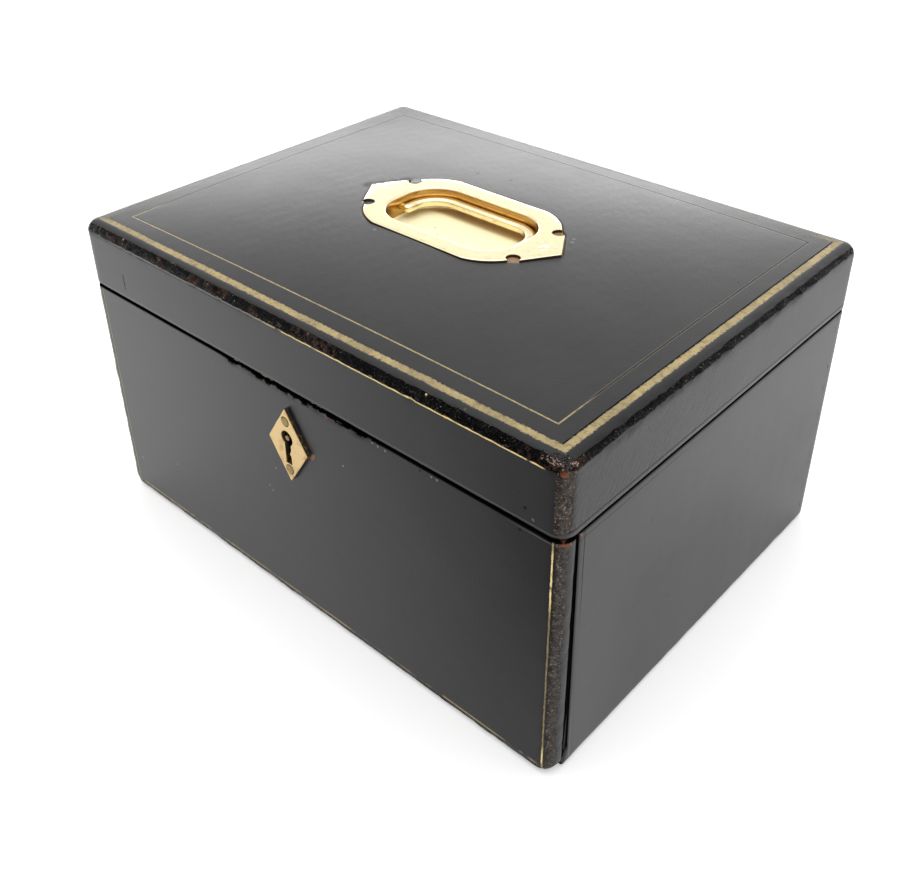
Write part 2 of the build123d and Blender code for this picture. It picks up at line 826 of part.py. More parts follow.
def lid_pieces():
    """The lid's top board, its four walls as one frame, its leather, its lining and its pad."""
    core = lid_form(leather)
    tall = lid_edge + crown
    in_x = inner_x
    in_y = inner_back
    hollow = block(-in_x, in_x, -in_y, in_y, lid_low, ceiling)
    above = block(-half_width, half_width, -half_depth, half_depth, ceiling, tall)
    below = block(-half_width, half_width, -half_depth, half_depth, lid_low, ceiling)
    plate, recess, pocket = striker_pieces()
    board = core & above
    frame = (core & below) - hollow - pocket
    skin = lid_form(0) - core - hollow - recess - lid_leaf_recess(1)
    # The board has a plain seat with round ends; the leather is cut to the plate's own edge.
    seat = SlotOverall(plate_length, plate_width)
    board -= handle_room(seat)
    skin -= handle_room(plate_outline())
    lined = hollow & block(-in_x, in_x, -in_y, in_y, lid_low + leather, ceiling)
    band = lined - block(lining - in_x, in_x - lining, lining - in_y, in_y - lining, lid_low, ceiling)
    pad_x = in_x - lining - pad_margin
    pad_y = in_y - lining - pad_margin
    pad = block(-pad_x, pad_x, -pad_y, pad_y, ceiling - pad_thickness, ceiling)
    pad = fillet(pad.faces().sort_by(Axis.Z)[0].edges(), pad_crown)
    return {
        "lid_top_board": board,
        "lid_frame": frame,
        "lid_leather": skin,
        "lid_side_lining": band,
        "lid_pad": pad,
        "lock_striker_plate": plate,
    }


def jewellery_box():
    """Every piece of the box, by name."""
    pieces = case_pieces()
    pieces.update(interior_pieces())
    pieces.update(drawer("drawer_lower", bed_top))
    pieces.update(drawer("drawer_upper", bed_top + opening_height + shelf))
    pieces.update(lid_pieces())
    plate, rivets, bail = handle_pieces()
    pieces["handle_plate"] = plate
    pieces["handle_rivets"] = rivets
    pieces["handle_bail"] = bail
    board, skin, panel = flap_pieces()
    pieces["flap_board"] = board
    pieces["flap_leather"] = skin
    pieces["flap_lining"] = panel
    case, cover, selvedge, drill = lock_pieces()
    pieces["lock_case"] = case
    pieces["lock_cover"] = cover
    pieces["lock_selvedge"] = selvedge
    pieces["lock_drill_pin"] = drill
    pieces["lock_claw_left"] = claw(-1)
    pieces["lock_claw_right"] = claw(1)
    plate, pins = escutcheon_pieces()
    pieces["escutcheon"] = plate
    pieces["escutcheon_pins"] = pins
    lower, upper, pin = lid_hinges()
    pieces["lid_hinge_lower_leaves"] = lower
    pieces["lid_hinge_upper_leaves"] = upper
    pieces["lid_hinge_pins"] = pin
    fixed, moving, pin = flap_hinges()
    pieces["flap_hinge_fixed_leaves"] = fixed
    pieces["flap_hinge_moving_leaves"] = moving
    pieces["flap_hinge_pins"] = pin
    return pieces


os.makedirs("parts", exist_ok=True)
for name, piece in jewellery_box().items():
    export_step(piece, os.path.join("parts", name + ".step"))
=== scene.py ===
"""The looks of a leather covered jewellery box: its skins, fittings, linings and the stage.

Lengths in the code are in millimetres; make_piece writes them to the mesh in metres.
"""

import math

import bmesh
import bpy
import numpy as np
from mathutils import Matrix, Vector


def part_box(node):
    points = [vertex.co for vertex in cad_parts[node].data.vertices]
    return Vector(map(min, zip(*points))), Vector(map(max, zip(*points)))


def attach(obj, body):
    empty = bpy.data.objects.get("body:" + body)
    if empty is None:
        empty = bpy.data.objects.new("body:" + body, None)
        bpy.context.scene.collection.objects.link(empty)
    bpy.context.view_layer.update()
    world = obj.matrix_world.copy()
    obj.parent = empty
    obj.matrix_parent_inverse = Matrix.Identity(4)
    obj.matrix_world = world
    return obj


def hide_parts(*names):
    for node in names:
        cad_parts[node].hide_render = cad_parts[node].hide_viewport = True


bl_info = {
    "name": "Leather jewellery box",
    "version": (1, 0, 0),
    "blender": (4, 5, 0),
    "location": "View3D > Sidebar > Jewellery box",
    "description": "Builds the leather, brass, velvet and satin surfaces of a jewellery box on its frame",
    "category": "Add Mesh",
}

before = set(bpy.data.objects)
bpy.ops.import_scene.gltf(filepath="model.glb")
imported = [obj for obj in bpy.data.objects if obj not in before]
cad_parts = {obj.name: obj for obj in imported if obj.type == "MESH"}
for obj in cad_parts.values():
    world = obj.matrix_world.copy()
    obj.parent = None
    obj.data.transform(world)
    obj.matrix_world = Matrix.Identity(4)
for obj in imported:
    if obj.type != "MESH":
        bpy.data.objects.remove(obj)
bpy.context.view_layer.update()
MM = 0.001


# Sizes that come from the frame, and what a user would change


def span(node):
    """The lowest and highest corner of a frame node, in millimetres."""
    low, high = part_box(node)
    return np.array(low) / MM, np.array(high) / MM


LID_LOW, LID_HIGH = span("lid_leather")
CASE_LOW, CASE_HIGH = span("case_leather")
FLAP_LOW, FLAP_HIGH = span("flap_leather")
PLATE_LOW, PLATE_HIGH = span("handle_plate")
HALF_X, HALF_Y, CROWN_TOP = (float(side) for side in LID_HIGH)
FLAP_MIDDLE = (FLAP_LOW[1] + FLAP_HIGH[1]) / 2
FLAP_HALF = (FLAP_HIGH[1] - FLAP_LOW[1]) / 2
# How far the leather turns in over a wall's edge, and the gap round the falling front's foot
TURN_IN = 9.2
TOE_GAP = 0.8
# The middle of each hinge, to the left and to the right
HINGE_X = 95
# Where the bite in the handle plate's edge starts, is deepest and ends
BITE = ((49.6, 16.8), (43.3, 15.0), (45.4, 20.1))
# The metal under the handle's recess and the keyhole plate's pin heads
FLOOR_THICK = 1.6
PIN_RADIUS = 2.25
# The thickness of the velvet, and the steps along a lining's long and short sides
VELVET = 0.8
LINING_STEPS = (60, 46)


def length_setting(label, says, value):
    """A length that the user can change, in metres."""
    return bpy.props.FloatProperty(name=label, description=says, default=value, unit="LENGTH")


def colour_setting(label, says, value):
    """A colour that the user can change."""
    return bpy.props.FloatVectorProperty(
        name=label, description=says, subtype="COLOR", size=3, default=value
    )


class BoxSizes(bpy.types.PropertyGroup):
    """Sizes of the skins and fittings, in metres."""

    leather: length_setting("Leather", "Thickness of the leather", 0.0012)
    corner_radius: length_setting("Corner radius", "Round of the box's upright corners", 0.007)
    top_radius: length_setting("Top edge radius", "Round of the lid's upper edge", 0.0062)
    bottom_radius: length_setting("Bottom edge radius", "Round of the base's lower edge", 0.0035)
    lip: length_setting("Lip", "Round of the edges at the seam", 0.0012)
    crown: length_setting("Crown", "How far the middle of the lid rises", 0.007)
    lump: length_setting("Lumps", "Unevenness of the worn leather edges", 0.00018)


class BoxColours(bpy.types.PropertyGroup):
    """Colours of the finishes."""

    leather: colour_setting("Leather", "The leather's dye", (0.0072, 0.0072, 0.0085))
    worn: colour_setting("Worn leather", "Leather rubbed to its body", (0.062, 0.049, 0.04))
    bare: colour_setting("Bare leather", "The pale fibres under the worn leather", (0.46, 0.34, 0.28))
    copper: colour_setting("Red leather", "Leather torn to its red core", (0.2, 0.06, 0.02))
    gilt: colour_setting("Gilt", "The tooled gold lines", (0.43, 0.34, 0.165))
    brass: colour_setting("Brass", "Polished brass", (0.94, 0.83, 0.53))
    old_brass: colour_setting("Old brass", "Brass that has darkened", (0.61, 0.45, 0.22))
    pin: colour_setting("Pins", "The keyhole plate's dull pins", (0.26, 0.19, 0.075))
    velvet: colour_setting("Velvet", "The velvet linings", (0.13, 0.012, 0.03))
    satin: colour_setting("Satin", "The padded satin", (0.19, 0.02, 0.05))
    baize: colour_setting("Baize", "The cloth under the base", (0.02, 0.07, 0.035))
    wood: colour_setting("Mahogany", "The drawers and dividers", (0.17, 0.055, 0.022))
    softwood: colour_setting("Softwood", "The carcass boards", (0.36, 0.21, 0.1))


def sizes():
    """The sizes in millimetres, by name."""
    group = bpy.context.scene.jewellery_sizes
    return {key: getattr(group, key) / MM for key in BoxSizes.__annotations__}


def colour(name):
    """A colour of the user's as four numbers."""
    return (*getattr(bpy.context.scene.jewellery_colours, name), 1.0)


# Meshes


def halves(low, high):
    """The middle of a box and half its size along each axis."""
    return (low + high) / 2, (high - low) / 2


def grid_faces(rows, columns, close_rows=False, close_columns=False):
    """Quads of a grid numbered row by row; a closed direction joins its last line to its first."""
    r = np.arange(rows if close_rows else rows - 1)
    c = np.arange(columns if close_columns else columns - 1)
    r, c = np.meshgrid(r, c, indexing="ij")
    r2 = (r + 1) % rows
    c2 = (c + 1) % columns
    corners = [r * columns + c, r * columns + c2, r2 * columns + c2, r2 * columns + c]
    return np.stack(corners, -1).reshape(-1, 4)


def skin_of(rings, close_rows=True, close_columns=True, caps=False):
    """Points and faces of stacked rings, an array of rows, columns and xyz; caps fill the open ends."""
    rings = np.asarray(rings, float)
    rows, columns = rings.shape[:2]
    faces = grid_faces(rows, columns, close_rows, close_columns).tolist()
    if caps and not close_rows:
        faces.append(list(range(columns))[::-1])
        faces.append(list(range((rows - 1) * columns, rows * columns)))
    if caps and not close_columns:
        faces.append([row * columns for row in range(rows)])
        faces.append([row * columns + columns - 1 for row in range(rows)][::-1])
    return rings.reshape(-1, 3), faces


def stacked(rings):
    """Rings stacked into a closed body."""
    return skin_of(rings, close_rows=False, caps=True)


def join(*parts):
    """Several pairs of points and faces as one."""
    points = []
    faces = []
    first = 0
    for p, f in parts:
        points.append(p)
        faces += [[first + i for i in face] for face in f]
        first += len(p)
    return np.concatenate(points), faces


def make_piece(name, shape, body, finish, replaces=(), sharp=40):
    """Makes a mesh object of points and faces, turned outward, that rides on a body of the frame."""
    weld = 0.0005 * MM
    points, faces = shape
    mesh = bpy.data.meshes.new(name)
    mesh.from_pydata((np.asarray(points) * MM).tolist(), [], faces)
    work = bmesh.new()
    work.from_mesh(mesh)
    bmesh.ops.remove_doubles(work, verts=work.verts, dist=weld)
    bmesh.ops.dissolve_degenerate(work, edges=work.edges, dist=weld)
    bmesh.ops.recalc_face_normals(work, faces=work.faces)
    work.to_mesh(mesh)
    work.free()
    piece = bpy.data.objects.new(name, mesh)
    bpy.context.scene.collection.objects.link(piece)
    mesh.shade_smooth()
    mesh.set_sharp_from_angle(angle=math.radians(sharp))
    mesh.materials.append(finish)
    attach(piece, body)
    if replaces:
        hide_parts(*replaces)
    return piece


def cut(piece, cutters):
    """Takes closed shapes, each a pair of points and faces, out of a piece."""
    mesh = bpy.data.meshes.new("cutter")
    points, faces = join(*cutters)
    mesh.from_pydata((points * MM).tolist(), [], faces)
    work = bmesh.new()
    work.from_mesh(mesh)
    bmesh.ops.recalc_face_normals(work, faces=work.faces)
    work.to_mesh(mesh)
    work.free()
    cutter = bpy.data.objects.new("cutter", mesh)
    bpy.context.scene.collection.objects.link(cutter)
    modifier = piece.modifiers.new("cut", "BOOLEAN")
    modifier.operation = "DIFFERENCE"
    modifier.solver = "EXACT"
    modifier.object = cutter
    bpy.context.view_layer.update()
    result = bpy.data.meshes.new_from_object(
        piece.evaluated_get(bpy.context.evaluated_depsgraph_get())
    )
    piece.modifiers.clear()
    old = piece.data
    piece.data = result
    bpy.data.meshes.remove(old)
    bpy.data.objects.remove(cutter)
    bpy.data.meshes.remove(mesh)
    if not len(piece.data.polygons):
        raise RuntimeError(f"{piece.name}: the cut left nothing")
    piece.data.set_sharp_from_angle(angle=math.radians(40))
    return piece


def waves(points, wavelength, seed, count=9):
    """Smooth random relief: a sum of sine waves of random direction, length and phase, about -1 to 1."""
    dice = np.random.default_rng(seed)
    direction = dice.normal(size=(count, 3))
    direction /= np.linalg.norm(direction, axis=1, keepdims=True)
    length = wavelength * dice.uniform(0.6, 1.7, (count, 1))
    phase = dice.uniform(0, 2 * math.pi, count)
    return np.sin(points @ (direction * 2 * math.pi / length).T + phase).sum(-1) / math.sqrt(2 * count)


def ring_normals(rings):
    """Unit normals of a closed grid of points, from the cross product of its two central differences."""
    along = np.roll(rings, -1, 0) - np.roll(rings, 1, 0)
    around = np.roll(rings, -1, 1) - np.roll(rings, 1, 1)
    normal = np.cross(around, along)
    return normal / np.maximum(np.linalg.norm(normal, axis=-1, keepdims=True), 1e-9)


def smooth(x, low, high):
    """0 below low, 1 above high, and 3t^2 - 2t^3 in between."""
    t = np.clip((x - low) / (high - low), 0, 1)
    return t * t * (3 - 2 * t)


def arc(cx, cy, radius, start, end, steps):
    """Points on a circle between two angles in degrees."""
    a = np.radians(np.linspace(start, end, steps + 1))
    return np.stack([cx + radius * np.cos(a), cy + radius * np.sin(a)], -1)


def plan_ring(half_x, half_y, radius, z, side=(120, 92), corner=9):
    """A rounded rectangle about the origin: four quarter circles joined by straight runs."""
    cx = half_x - radius
    cy = half_y - radius
    corners = [
        arc(cx, -cy, radius, -90, 0, corner),
        arc(cx, cy, radius, 0, 90, corner),
        arc(-cx, cy, radius, 90, 180, corner),
        arc(-cx, -cy, radius, 180, 270, corner),
    ]
    parts = []
    for k in range(4):
        steps = side[(k + 1) % 2]
        run = np.linspace(0, 1, steps + 1)[1:-1, None]
        start = corners[k][-1]
        end = corners[(k + 1) % 4][0]
        parts += [corners[k], start * (1 - run) + end * run]
    flat = np.concatenate(parts)
    return np.column_stack([flat, np.full(len(flat), z)])


def resample(line, count):
    """Points at equal steps of length along an open line, the first and last kept."""
    step = np.linalg.norm(np.diff(line, axis=0), axis=1)
    reach = np.concatenate([[0], np.cumsum(step)])
    at = np.linspace(0, reach[-1], count)
    return np.stack([np.interp(at, reach, line[:, k]) for k in range(line.shape[1])], -1)


def quarters(line, half_count):
    """A closed ring from its first quarter, which runs from the +X axis to the +Y axis."""
    first = resample(line, half_count + 1)
    second = first[::-1] * [-1, 1]
    upper = np.concatenate([first, second[1:]])
    lower = upper[::-1] * [1, -1]
    return np.concatenate([upper, lower[1:-1]])


def lathe(profile, steps):
    """A turned shape about +Z: radius and height pairs carried round a circle, closed at both ends."""
    profile = np.asarray(profile, float)
    a = np.arange(steps) * 2 * math.pi / steps
    radius = profile[:, :1]
    ring = [radius * np.cos(a), radius * np.sin(a), np.repeat(profile[:, 1:2], steps, 1)]
    return stacked(np.stack(ring, -1))


def turned(shape, rotation, place):
    """A shape turned by a matrix and then moved."""
    points, faces = shape
    return points @ np.array(rotation).T + np.array(place), faces


FACE_FRONT = Matrix.Rotation(math.radians(90), 3, "X")


def prism(outline, low, high, axis):
    """A closed outline, seen along an axis, carried straight between two levels."""
    outline = np.asarray(outline, float)
    levels = []
    for level in (low, high):
        across = np.full(len(outline), level)
        order = {
            "x": [across, outline[:, 0], outline[:, 1]],
            "y": [outline[:, 0], across, outline[:, 1]],
            "z": [outline[:, 0], outline[:, 1], across],
        }
        levels.append(np.stack(order[axis], -1))
    return stacked(levels)


def box_shape(low, high):
    """A plain block between two corners, as a cutter."""
    outline = [(low[0], low[1]), (high[0], low[1]), (high[0], high[1]), (low[0], high[1])]
    return prism(outline, low[2], high[2], "z")


# Finishes


class Value:
    """A number or colour that varies over a surface; the usual signs make a new one."""

    def __init__(self, socket):
        self.socket = socket
        self.tree = socket.id_data

    def __add__(self, other):
        return calc("ADD", self, other)

    def __sub__(self, other):
        return calc("SUBTRACT", self, other)

    def __rsub__(self, other):
        return calc("SUBTRACT", other, self)

    def __mul__(self, other):
        return calc("MULTIPLY", self, other)

    def __truediv__(self, other):
        return calc("DIVIDE", self, other)

    __radd__ = __add__
    __rmul__ = __mul__


def put(socket, value):
    """Sets a socket to a plain value or joins a varying one to it."""
    if isinstance(value, Value):
        socket.id_data.links.new(value.socket, socket)
    else:
        socket.default_value = value


def add(tree, kind, inputs=(), **settings):
    """A node of a kind; inputs gives a plain or varying value for each socket."""
    node = tree.nodes.new(kind)
    for key, value in settings.items():
        setattr(node, key, value)
    for key, value in dict(inputs).items():
        put(node.inputs[key], value)
    return node


def calc(operation, *values, clamp=False):
    """A sum, product or other operation on numbers, at least one of which varies."""
    tree = next(value.tree for value in values if isinstance(value, Value))
    node = add(tree, "ShaderNodeMath", enumerate(values), operation=operation, use_clamp=clamp)
    return Value(node.outputs[0])


def size_of(value):
    """A value without its sign."""
    return calc("ABSOLUTE", value)


def most(*masks):
    """The strongest of several masks."""
    result = masks[0]
    for mask in masks[1:]:
        result = calc("MAXIMUM", result, mask)
    return result


def fade(value, low, high):
    """Rises smoothly from 0 at low to 1 at high; low may be the larger."""
    first, last = (0.0, 1.0) if low < high else (1.0, 0.0)
    inputs = {"Value": value, "From Min": min(low, high), "From Max": max(low, high)}
    inputs.update({"To Min": first, "To Max": last})
    return Value(add(value.tree, "ShaderNodeMapRange", inputs, interpolation_type="SMOOTHSTEP").outputs[0])


def line(value, centre, half, soft=0.15):
    """1 within half a width of a line at centre, falling to 0 over the soft edge."""
    return fade(size_of(value - centre), half + soft, half - soft)


def blend_colours(share, first, second):
    """The first colour where share is 0 and the second where it is 1."""
    node = add(share.tree, "ShaderNodeMix", {0: share, 6: first, 7: second}, data_type="RGBA")
    return Value(node.outputs[2])


def darker(name, share):
    """One of the user's colours at a share of its strength."""
    return tuple(share * part for part in colour(name)[:3]) + (1.0,)


class Surface:
    """One material: its node tree, its main shader and the piece's own place in millimetres."""

    def __init__(self, name):
        self.material = bpy.data.materials.new(name)
        self.material.use_nodes = True
        self.tree = self.material.node_tree
        self.shader = self.tree.nodes["Principled BSDF"]
        self.place = Value(add(self.tree, "ShaderNodeTexCoord").outputs["Object"])
        self.here = self.stretched((1, 1, 1))
        parts = add(self.tree, "ShaderNodeSeparateXYZ", {0: self.here}).outputs
        self.x, self.y, self.z = (Value(part) for part in parts)

    def stretched(self, scale):
        """The place in millimetres, stretched along each axis."""
        inputs = {0: self.place, 1: tuple(s / MM for s in scale)}
        return Value(add(self.tree, "ShaderNodeVectorMath", inputs, operation="MULTIPLY").outputs[0])

    def cloud(self, size, detail=3.0, rough=0.55, scale=None, place=None):
        """Noise between 0 and 1 whose blotches are about size millimetres across."""
        vector = place or (self.stretched(scale) if scale else self.here)
        inputs = {"Vector": vector, "Scale": 1 / size, "Detail": detail, "Roughness": rough}
        return Value(add(self.tree, "ShaderNodeTexNoise", inputs).outputs[0])

    def cells(self, size):
        """Distance to the edge in a pattern of cells about size millimetres across."""
        inputs = {"Vector": self.here, "Scale": 1 / size}
        node = add(self.tree, "ShaderNodeTexVoronoi", inputs, feature="DISTANCE_TO_EDGE")
        return Value(node.outputs["Distance"])

    def spots(self, places, radius):
        """Small ragged marks about points of the box, in millimetres; 1 inside a mark."""
        nearest = None
        for place in places:
            node = add(self.tree, "ShaderNodeVectorMath", {0: self.here, 1: place}, operation="DISTANCE")
            away = Value(node.outputs["Value"])
            nearest = calc("MINIMUM", nearest, away) if nearest else away
        ragged = self.cloud(0.9, 3, 0.6) * (radius * 1.6)
        return fade(nearest + ragged, radius * 1.9, radius * 1.3)

    def relief(self, *layers):
        """Bumps over one another, each a height between 0 and 1 and its depth in millimetres."""
        normal = None
        for height, depth in layers:
            inputs = {"Height": height, "Distance": depth * MM, "Strength": 1.0}
            if normal:
                inputs["Normal"] = normal
            normal = Value(add(self.tree, "ShaderNodeBump", inputs).outputs[0])
        return normal

    def shade(self, sockets):
        """Sets the shader's sockets by name and gives the finished material."""
        for name, value in sockets.items():
            put(self.shader.inputs[name], value)
        return self.material


MARKS = (
    "gilt", "bright", "groove", "seam", "crazed", "furred", "worn", "copper", "crumbs", "pale", "dark",
    "creased",
)


def leather_finish(name, tooling):
    """Black calf: smooth with a fine grain, gilt lines, crackled black and rubbed brown where handled.

    tooling is a function of the surface that gives masks between 0 and 1 by name, any of MARKS:
    gilt and bright (tooled gold), groove (dark), seam (painted shade: black on the lips where the
    pieces meet and in the slit), crazed, furred, worn, copper and crumbs (wear), pale (specks, and
    painted highlights along lips, edges and a tooled line), dark (specks) and creased (fine strokes).
    It also gives polish, the shine's strength, which the tooling varies over the faces as painted
    shade and painted sheen. The crackle's pale sparks are painted glints.
    """
    surface = Surface(name)
    nowhere = surface.x * 0.0
    marks = {**dict.fromkeys(MARKS, nowhere), **tooling(surface)}
    coarse = surface.cloud(30, 4)
    grain = surface.cloud(1.1, 4, 0.6)
    pores = surface.cloud(0.35, 2, 0.6)
    speck = surface.cloud(0.9, 3, 0.75)
    blotch = surface.cloud(2.6, 4, 0.7)
    drift = (blotch - 0.5) * 1.5

    def ragged(mask, low=0.42, high=0.56):
        return fade(marks[mask] + drift, low, high)

    black = (0.0016, 0.0015, 0.0016, 1)
    lighter = (0.0125, 0.012, 0.0125, 1)
    fur = (0.055, 0.028, 0.019, 1)
    dark_brown = (0.011, 0.009, 0.008, 1)
    grey = (0.2, 0.19, 0.17, 1)
    dull_gilt = (0.25, 0.185, 0.085, 1)
    lost_gilt = (0.1, 0.075, 0.04, 1)
    fresh_gold = (0.84, 0.65, 0.3, 1)

    body = blend_colours(fade(coarse, 0.35, 0.75), colour("leather"), lighter)
    crazed = ragged("crazed")
    body = blend_colours(crazed, body, black)
    furred = ragged("furred", 0.45, 0.8) * fade(blotch, 0.42, 0.62)
    body = blend_colours(furred * 0.85, body, fur)
    worn = ragged("worn", 0.36, 0.7)
    rubbed = blend_colours(fade(blotch, 0.36, 0.62), dark_brown, colour("worn"))
    rubbed = blend_colours(fade(speck, 0.56, 0.66) * 0.65, rubbed, colour("bare"))
    body = blend_colours(worn, body, rubbed)
    body = blend_colours(ragged("copper"), body, colour("copper"))
    # painted glints: pale specks on the crackled black stand in for the shine of its lumps; light joins
    # them to the real pale crumbs
    painted_glints = crazed * fade(speck, 0.6, 0.64) * fade(blotch, 0.54, 0.62)
    crumbs = ragged("crumbs") * fade(speck, 0.48, 0.6)
    light = most(painted_glints * 0.8, crumbs)
    body = blend_colours(light, body, colour("bare"))
    # pale: real specks and scratches, and painted highlights along lips, edges and a tooled line
    body = blend_colours(marks["pale"], body, grey)
    body = blend_colours(most(marks["groove"], marks["dark"]), body, black)
    gold = blend_colours(fade(blotch, 0.3, 0.56), dull_gilt, colour("gilt"))
    gold = blend_colours(fade(speck, 0.38, 0.3), gold, lost_gilt)
    gilt = marks["gilt"] * fade(blotch, 0.22, 0.34)
    body = blend_colours(gilt, body, gold)
    body = blend_colours(marks["bright"], body, fresh_gold)
    # seam: painted shade, black on the lips where the pieces meet and in the slit
    body = blend_colours(marks["seam"], body, black)

    rough = 0.3 + coarse * 0.09 + most(worn, gilt, light) * 0.18 - crazed * 0.14
    kept = 1 - crazed * (0.9 - fade(speck, 0.57, 0.66))
    # hidden also takes the shine off the painted seam shade
    hidden = most(marks["seam"], marks["groove"], marks["dark"] * 0.7, most(gilt, worn) * 0.4)
    kept = kept * (1 - hidden)
    lumps = fade(surface.cells(1.7), 0.0, 0.2) * 0.4 + blotch
    rough_parts = most(crazed, worn * 0.45, crumbs)
    pressed = most(marks["groove"], gilt, marks["bright"])
    normal = surface.relief(
        (grain, 0.05),
        (pores, 0.028),
        (rough_parts * lumps, 1.0),
        (rough_parts * speck, 0.5),
        (marks["creased"], 0.32),
        (1 - pressed, 0.15),
    )
    return surface.shade(
        {
            "Base Color": body,
            "Metallic": most(gilt * 0.35, marks["bright"] * 0.6),
            "Roughness": rough,
            "Specular IOR Level": marks["polish"] * kept,
            "Normal": normal,
        }
    )


def on_face(inside):
    """1 on a face of the box, where the distance in from it is small."""
    return fade(inside, 1.5, 0.7)


def edge_distance(surface):
    """How far a point lies inside the nearest edge of the box's plan, and inside its sides and ends."""
    in_x = HALF_X - size_of(surface.x)
    in_y = HALF_Y - size_of(surface.y)
    return calc("MINIMUM", in_x, in_y), in_x, in_y


def corner_band(surface, side_x, side_y):
    """1 on the round of one upright corner of the box."""
    reach = 6.5
    out_x = surface.x * side_x - (HALF_X - reach)
    out_y = surface.y * side_y - (HALF_Y - reach)
    return fade(calc("MINIMUM", out_x, out_y), 0.0, reach * 0.28)


def corner_reach(surface, side_x=1, side_y=-1):
    """How far a point lies from one upright corner of the box, along x and y together."""
    return (HALF_X - surface.x * side_x) + (HALF_Y - surface.y * side_y)


def lid_tooling(surface):
    """The lid's lines: a broad gilt band and a thin line round the top, a gold line on the front.

    south is 1 along the front edge, near runs from the far left corner to the near right one.
    """
    x, y, z = surface.x, surface.y, surface.z
    band_at = 7.7
    thin_at = 18.0
    gold_line_z = 159.1
    rim_z = 161.0
    lip_z = 130.4
    inside, in_x, in_y = edge_distance(surface)
    top = fade(z, CROWN_TOP - 9.6, CROWN_TOP - 8.6)
    front = on_face(y + HALF_Y)
    side = on_face(in_x)
    south = fade(in_x - in_y, -1.0, 1.0) * fade(y, 10.0, -10.0)
    near = x / HALF_X - y / HALF_Y
    strong = fade(near, -0.1, 0.1)
    ragged = surface.cloud(1.0, 4, 0.65) - 0.5
    drift = surface.cloud(14, 2) - 0.5

    shaken = inside + ragged * 2.4 + drift * 0.9
    patchy = 0.76 + 0.24 * fade(surface.cloud(17, 3), 0.35, 0.6)
    broad = fade(size_of(shaken - band_at), 1.9, 1.25) * top * (0.1 + 0.9 * strong) * patchy
    beside = calc("ADD", 0.12, strong * (1 - south), clamp=True)
    dark = line(inside, band_at + 2.0, 0.3) * top * beside
    thin_kept = 0.12 + 0.75 * fade(y, -70.0, -88.0)
    thin_inset = inside + ragged * 0.5
    thin = line(thin_inset, thin_at, 0.32) * top
    # painted highlight: a pale line beside the thin tooled line, its lit edge, where little of the line is
    # gilt
    lit_share = calc("SUBTRACT", 0.42, thin_kept, clamp=True)
    thin_lit = line(thin_inset, thin_at + 0.7, 0.2) * top * lit_share
    low_line = line(z, gold_line_z, 0.34) * front * fade(surface.cloud(8, 4), 0.34, 0.46)
    low_gold = low_line * fade(x, -30.0, 10.0) * fade(x, 141.0, 138.0)
    low_pale = low_line * fade(x, -128.0, -118.0) * fade(x, 10.0, -30.0)
    low_dark = line(z, gold_line_z - 0.7, 0.16) * front * fade(x, 0.0, -40.0) * 0.7
    groove_low = line(z, 133.2, 0.18) * side

    rim = fade(inside - south * 0.5, 2.6, 1.7) * fade(z + south * 1.1, rim_z - 1.1, rim_z)
    crazed = rim * (0.1 + 0.9 * fade(near, -0.3, 0.4))
    at_corner = corner_reach(surface)
    browned = south * fade(surface.cloud(15, 2), 0.5, 0.62)
    furred = rim * most(browned, fade(at_corner, 22.0, 9.0))
    backs = most(corner_band(surface, 1, 1), corner_band(surface, -1, 1))
    corners = most(fade(at_corner, 6.3, 4.6), corner_band(surface, -1, -1) * 0.42, backs * 0.35)
    worn = corners * fade(z, 130.5, 135.0)
    left_top = fade(corner_reach(surface, -1, -1), 16.0, 6.0) * fade(z, 157.0, 160.0) * 0.6
    apex = fade(at_corner, 4.8, 4.2) * line(z, 159.9, 1.9, 1.4) * 0.8
    over_rim = fade(z, rim_z, 162.2) * fade(inside, 5.6, 4.6)
    lumps = most(fade(at_corner, 21.0, 7.0) * fade(y, -106.0, -108.0), fade(at_corner, 10.0, 6.0))

    along = y * 0.52 + z * 0.85
    across = y * 0.85 - z * 0.52
    stroke = Value(add(surface.tree, "ShaderNodeCombineXYZ", {0: across, 1: along * 0.07}).outputs[0])
    strokes = surface.cloud(0.9, 3, 0.6, place=stroke)
    spread = 0.3 + 0.7 * fade(y, 40.0, -70.0)
    creased = side * spread * fade(z, 160.0, 156.0) * fade(x, 0.0, 10.0)

    scratch = line(x, -119.6, 0.5, 0.3) * line(z, 139.6, 4.0, 2.0) * front
    flake = surface.spots([(93.6, -114.0, 159.1)], 1.2) * 0.8
    specks = [(105.2, 15.1, 168.4), (136.0, -114.0, 133.9), (-13.4, -37.5, 169.8), (100.5, -110.6, 164.3)]
    holes = [(-30.9, 48.3, 169.9), (-12.0, 52.4, 169.8), (106.5, 15.9, 168.4), (132.2, -114.0, 137.4)]
    blisters = [(-116.5, -112.2, 163.2), (82.5, -112.2, 163.2)]
    smears = [(-62.4, 0.5, 170.6), (-59.0, 5.5, 170.7), (-55.5, 11.0, 170.6), (-52.0, 16.5, 170.6)]
    rubs = [(54.0, 17.5, 170.5), (55.5, 14.5, 170.5), (-22.0, -36.0, 170.8)]
    light = most(surface.spots(specks, 0.8), surface.spots(rubs, 1.1)) * 0.5
    # painted highlight: a pale line on the lid's lower lip, on the front and sides
    painted_lip_highlight = line(z, 131.5, 0.22, 0.2) * most(front, side) * 0.3
    # painted shade: the lid's lower lip is black like the gap under it
    lip = fade(z + drift * 1.2, lip_z + 0.5, lip_z) * fade(inside, 2.2, 1.2)

